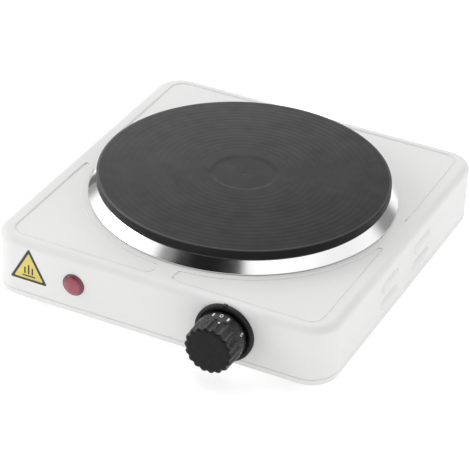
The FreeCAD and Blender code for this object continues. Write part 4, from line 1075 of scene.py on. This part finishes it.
def make_lens(lens):
    radius = (LENS_HIGH.x - LENS_LOW.x) / 2
    rise = LENS_HIGH.y - LENS_LOW.y
    # Height runs from the crown of the lens to the panel.
    profile = [(0, 0)]
    profile += [(radius * 0.35, rise * 0.05), (radius * 0.6, rise * 0.17), (radius * 0.78, rise * 0.36)]
    profile += [(radius * 0.86, rise * 0.55), (radius * 0.89, rise * 0.68), (radius * 0.94, rise * 0.72)]
    profile += [(radius * 0.985, rise * 0.76), (radius, rise * 0.84), (radius, rise), (0, rise)]
    shell = turned(profile, (LENS_AXIS.x, LENS_LOW.y, LENS_AXIS.z), "Y", 72)
    piece("pilot_lens", shell, "root", lens, ["lamp_lens"], sharp=40)


def triangle(points, y, thickness, corner):
    """A flat three-cornered plate on the front, with rounded corners."""
    bm = bmesh.new()
    verts = [bm.verts.new((x, y, z)) for x, z in points]
    bm.faces.new(verts)
    bevel(bm, bm.verts[:], corner, 5, "VERTICES")
    raised = bmesh.ops.extrude_face_region(bm, geom=bm.faces[:])["geom"]
    verts = [part for part in raised if isinstance(part, bmesh.types.BMVert)]
    bmesh.ops.translate(bm, vec=(0, -thickness, 0), verts=verts)
    bmesh.ops.recalc_face_normals(bm, faces=bm.faces)
    return bm


def make_label(border, film):
    """A plain yellow triangle with a dark border and three plain bars over a foot bar."""
    low, high = LABEL_LOW, LABEL_HIGH
    middle = (low.x + high.x) / 2
    face = FRONT
    corner = 1.4 * MM
    outline = [(low.x - 1.4 * MM, low.z), (high.x + 1.4 * MM, low.z), (middle, high.z + 2.4 * MM)]
    plate = triangle(outline, face, 0.10 * MM, corner)
    centre_x = sum(x for x, _ in outline) / 3
    centre_z = sum(z for _, z in outline) / 3

    def shrunk(factor):
        centre = Vector((centre_x, centre_z))
        return [tuple(centre.lerp(Vector(point), factor)) for point in outline]

    inner = triangle(shrunk(0.78), face, 0.13 * MM, corner * 0.7)
    bars = []
    for i in (-1, 0, 1):
        x = centre_x + i * 2.6 * MM
        tall = 3.4 * MM if i == 0 else 2.4 * MM
        bar = cuboid(
            (x - 0.55 * MM, face - 0.15 * MM, centre_z - 2.8 * MM),
            (x + 0.55 * MM, face, centre_z - 2.8 * MM + 2 * tall),
        )
        bevel(bar, edges_where(bar, lambda e: e.calc_length() < 0.2 * MM), 0.4 * MM, 4)
        bars.append(bar)
    foot = cuboid(
        (centre_x - 4.4 * MM, face - 0.15 * MM, centre_z - 4.6 * MM),
        (centre_x + 4.4 * MM, face, centre_z - 3.6 * MM),
    )
    piece("label_border", plate, "root", border, ["front_label"], sharp=40)
    piece("label_field", inner, "root", film, sharp=40)
    piece("label_bars", merged(*bars, foot), "root", border, sharp=40)


def make_gland(plastic):
    radius = (GLAND_HIGH.x - GLAND_LOW.x) / 2
    reach = GLAND_HIGH.y - REAR
    deep = REAR - GLAND_LOW.y
    bore = 3.75 * MM
    profile = [(bore, -deep), (bore, reach - 0.4 * MM), (bore + 0.4 * MM, reach)]
    profile += [(radius - 2 * MM, reach)]
    profile += arc((radius - 1.5 * MM, reach - 1.5 * MM), 1.5 * MM, 80, 0, 5)
    profile += [(radius, 0), (6.45 * MM, 0), (6.45 * MM, -WALL), (7.5 * MM, -WALL), (7.5 * MM, -1.8 * MM)]
    profile += [(6.0 * MM, -deep)]
    shell = turned(profile, (GLAND_AXIS.x, REAR, GLAND_AXIS.z), "Y", 72, closed=True)
    piece("cord_gland", shell, "root", plastic, ["mains_gland"], sharp=40)


# ---------------------------------------------------------------------------------- stage

def make_floor(rgb, glow):
    """A white floor that gives off a little light."""
    bm = bmesh.new()
    bmesh.ops.create_grid(bm, x_segments=8, y_segments=8, size=3.0)
    floor = loose_object("studio_floor", bm)
    finish = Finish("studio_floor")
    cloud = finish.noise(1.5, 2.0)
    finish.set(Emission_Color=(1, 1, 1, 1), Emission_Strength=glow)
    finish.feed("Base Color", finish.tint(cloud, shade(rgb, 0.99), shade(rgb, 1.01)))
    finish.feed("Roughness", finish.spread(cloud, 0.75, 0.9))
    floor.data.materials.append(finish.material)


# Black cards in the studio that give the polished ring its contrast: the compass span and
# the span of elevation of each in degrees, the width of its soft edge, and the share of
# light that is left there.
CARDS = (
    ((222, 298), (26, 84), 10, 0.25),
    ((235, 297), (26, 84), 12, 0.05),
    ((52, 76), (4, 58), 12, 0.25),
    ((140, 158), (-5, 20), 10, 0.30),
)


def make_sky(strength):
    """A white studio with black cards."""
    world = bpy.data.worlds.new("studio")
    bpy.context.scene.world = world
    world.use_nodes = True
    nodes = world.node_tree.nodes
    links = world.node_tree.links
    background = nodes["Background"]
    where = nodes.new("ShaderNodeTexCoord").outputs["Generated"]
    split = nodes.new("ShaderNodeSeparateXYZ")
    links.new(where, split.inputs["Vector"])

    def math_node(operation, *values):
        node = nodes.new("ShaderNodeMath")
        node.operation = operation
        for socket, value in zip(node.inputs, values):
            if isinstance(value, (int, float)):
                socket.default_value = value
            else:
                links.new(value, socket)
        return node.outputs["Value"]

    def inside(value, low, high, soft):
        """1 between low and high, falling softly to 0 outside."""
        middle, half = (low + high) / 2, (high - low) / 2
        off = math_node("ABSOLUTE", math_node("SUBTRACT", value, middle))
        fade = nodes.new("ShaderNodeMapRange")
        fade.interpolation_type = "SMOOTHSTEP"
        fade.inputs["From Min"].default_value = half - soft / 2
        fade.inputs["From Max"].default_value = half + soft / 2
        fade.inputs["To Min"].default_value = 1
        fade.inputs["To Max"].default_value = 0
        links.new(off, fade.inputs["Value"])
        return fade.outputs["Result"]

    turn = math_node("ARCTAN2", split.outputs["Y"], split.outputs["X"])
    compass = math_node("MODULO", math_node("ADD", turn, 2 * math.pi), 2 * math.pi)
    elevation = math_node("ARCSINE", split.outputs["Z"])
    level = 1
    for compass_span, elevation_span, soft, left in CARDS:
        radians = [math.radians(a) for a in (*compass_span, *elevation_span, soft)]
        card = math_node(
            "MULTIPLY",
            inside(compass, radians[0], radians[1], radians[4]),
            inside(elevation, radians[2], radians[3], radians[4]),
        )
        shadow = math_node("MULTIPLY", card, 1 - left)
        level = math_node("MULTIPLY", level, math_node("SUBTRACT", 1, shadow))
    # A little less light comes from the right.
    even = nodes.new("ShaderNodeMapRange")
    for socket, value in zip(("From Min", "From Max", "To Min", "To Max"), (0.6, 1.0, 1.0, 0.5)):
        even.inputs[socket].default_value = value
    links.new(split.outputs["X"], even.inputs["Value"])
    level = math_node("MULTIPLY", level, even.outputs["Result"])
    links.new(level, background.inputs["Color"])
    background.inputs["Strength"].default_value = strength


def make_card():
    """A low dark grey card, behind and to the left of the hot plate, out of the camera's view."""
    card = cuboid((-0.006, -0.15, 0.0), (0.006, 0.15, 0.09))
    bevel(card, card.edges[:], 2 * MM, 2)
    turn = Matrix.Rotation(math.radians(142), 4, "Z")
    bmesh.ops.transform(card, matrix=turn @ Matrix.Translation((0.56, 0, 0)), verts=card.verts)
    item = loose_object("studio_card", card)
    item.data.materials.append(matte("studio_card", (0.10, 0.10, 0.10)))


def make_light(name, place, aim, size, power):
    data = bpy.data.lights.new(name, "AREA")
    data.shape = "SQUARE"
    data.size = size
    data.energy = power
    light = bpy.data.objects.new(name, data)
    light.location = place
    light.rotation_euler = (Vector(aim) - Vector(place)).to_track_quat("-Z", "Y").to_euler()
    bpy.context.scene.collection.objects.link(light)


def make_camera():
    azimuth, elevation, roll = (math.radians(a) for a in (24.6, 31.91, 2.87))
    aim = Vector((0.99, CASE_MIDDLE / MM - 10.09, PAN_BASE / MM + 14.57)) * MM
    distance = 1.45336
    back = Vector(
        (
            math.sin(azimuth) * math.cos(elevation),
            -math.cos(azimuth) * math.cos(elevation),
            math.sin(elevation),
        )
    )
    right = Vector((math.cos(azimuth), math.sin(azimuth), 0))
    up = back.cross(right)
    tilted_right = right * math.cos(roll) + up * math.sin(roll)
    tilted_up = up * math.cos(roll) - right * math.sin(roll)
    data = bpy.data.cameras.new("camera")
    data.lens = 175.07
    data.sensor_width = 36
    data.clip_end = 20
    camera = bpy.data.objects.new("camera", data)
    matrix = Matrix((tilted_right, tilted_up, back)).transposed().to_4x4()
    matrix.translation = aim + back * distance
    camera.matrix_world = matrix
    bpy.context.scene.collection.objects.link(camera)
    bpy.context.scene.camera = camera


# ------------------------------------------------------------------------------ operators

class HOTPLATE_OT_casing(Operator):
    """Builds the housing, the base pan and the feet"""

    bl_idname = "hotplate.casing"
    bl_label = "Casing"

    def execute(self, context):
        sizes = context.scene.hotplate_casing
        paint = enamel("white_paint", sizes.paint)
        make_housing(sizes, paint)
        make_base_pan(sizes, paint)
        make_feet(matte("foot_rubber", (0.035, 0.035, 0.035), (0.6, 0.8)))
        return {"FINISHED"}


class HOTPLATE_OT_burner(Operator):
    """Builds the cast plate and its trim ring"""

    bl_idname = "hotplate.burner"
    bl_label = "Burner"

    def execute(self, context):
        sizes = context.scene.hotplate_burner
        make_plate(sizes, coated_iron("black_iron", sizes.iron))
        make_trim(polished_steel("polished_steel"))
        return {"FINISHED"}


class HOTPLATE_OT_control(Operator):
    """Builds the knob, its marks and the bezel"""

    bl_idname = "hotplate.control"
    bl_label = "Knob and Bezel"

    def execute(self, context):
        sizes = context.scene.hotplate_control
        make_knob(
            sizes,
            knob_plastic("knob_plastic", sizes.plastic),
            moulded("mark_ink", sizes.ink, (0.4, 0.6)),
        )
        make_bezel(moulded("bezel_black", sizes.plastic, (0.38, 0.5), 0.3))
        return {"FINISHED"}


class HOTPLATE_OT_fittings(Operator):
    """Builds the pilot lamp's lens, the front label and the cord gland"""

    bl_idname = "hotplate.fittings"
    bl_label = "Lamp, Label and Gland"

    def execute(self, context):
        sizes = context.scene.hotplate_control
        make_lens(tinted_lens("lens_plastic", sizes.lens))
        make_label(
            moulded("label_black", (0.03, 0.03, 0.03), (0.35, 0.5)),
            moulded("label_film", sizes.film, (0.3, 0.45)),
        )
        make_gland(moulded("gland_black", (0.03, 0.03, 0.032), (0.45, 0.6)))
        return {"FINISHED"}


class HOTPLATE_OT_carried(Operator):
    """Gives the working parts inside the casing their finishes"""

    bl_idname = "hotplate.carried"
    bl_label = "Inner Parts"

    def execute(self, context):
        finishes = carried_finishes()
        slots = {part["node"]: part["material_slot"] for part in frame["record"]["subparts"]}
        for name, item in frame["nodes"].items():
            finish = finishes.get(slots[name])
            if finish is not None:
                item.material_slots[0].material = finish
        return {"FINISHED"}


class HOTPLATE_OT_stage(Operator):
    """Builds the floor, the studio light and the camera"""

    bl_idname = "hotplate.stage"
    bl_label = "Stage"

    def execute(self, context):
        stage = context.scene.hotplate_stage
        make_floor(stage.floor, stage.glow)
        make_sky(stage.sky)
        make_card()
        make_light("soft_left", (-1.15, -0.3, 0.62), (0, 0, 0.05), 0.6, 3.2)
        make_light("soft_top", (-0.17, 0.37, 1.25), (0, 0, 0.05), 0.6, 2.5)
        make_camera()
        context.scene.view_settings.view_transform = "Standard"
        return {"FINISHED"}


OPERATORS = (
    HOTPLATE_OT_stage,
    HOTPLATE_OT_casing,
    HOTPLATE_OT_burner,
    HOTPLATE_OT_control,
    HOTPLATE_OT_fittings,
    HOTPLATE_OT_carried,
)


class HOTPLATE_PT_panel(Panel):
    """Lists the hot plate's building steps"""

    bl_idname = "HOTPLATE_PT_panel"
    bl_label = "Hot Plate"
    bl_space_type = "VIEW_3D"
    bl_region_type = "UI"
    bl_category = "Hot Plate"

    def draw(self, context):
        for operator in OPERATORS:
            self.layout.operator(operator.bl_idname)


SETTINGS = {
    "hotplate_casing": CasingSettings,
    "hotplate_burner": BurnerSettings,
    "hotplate_control": ControlSettings,
    "hotplate_stage": StageSettings,
}
CLASSES = (*SETTINGS.values(), *OPERATORS, HOTPLATE_PT_panel)


def register():
    for item in CLASSES:
        bpy.utils.register_class(item)
    for name, settings in SETTINGS.items():
        setattr(bpy.types.Scene, name, PointerProperty(type=settings))


def unregister():
    for name in SETTINGS:
        delattr(bpy.types.Scene, name)
    for item in reversed(CLASSES):
        bpy.utils.unregister_class(item)


def main():
    register()
    bpy.ops.hotplate.stage()
    bpy.ops.hotplate.casing()
    bpy.ops.hotplate.burner()
    bpy.ops.hotplate.control()
    bpy.ops.hotplate.fittings()
    bpy.ops.hotplate.carried()


if __name__ == "__main__":
    main()
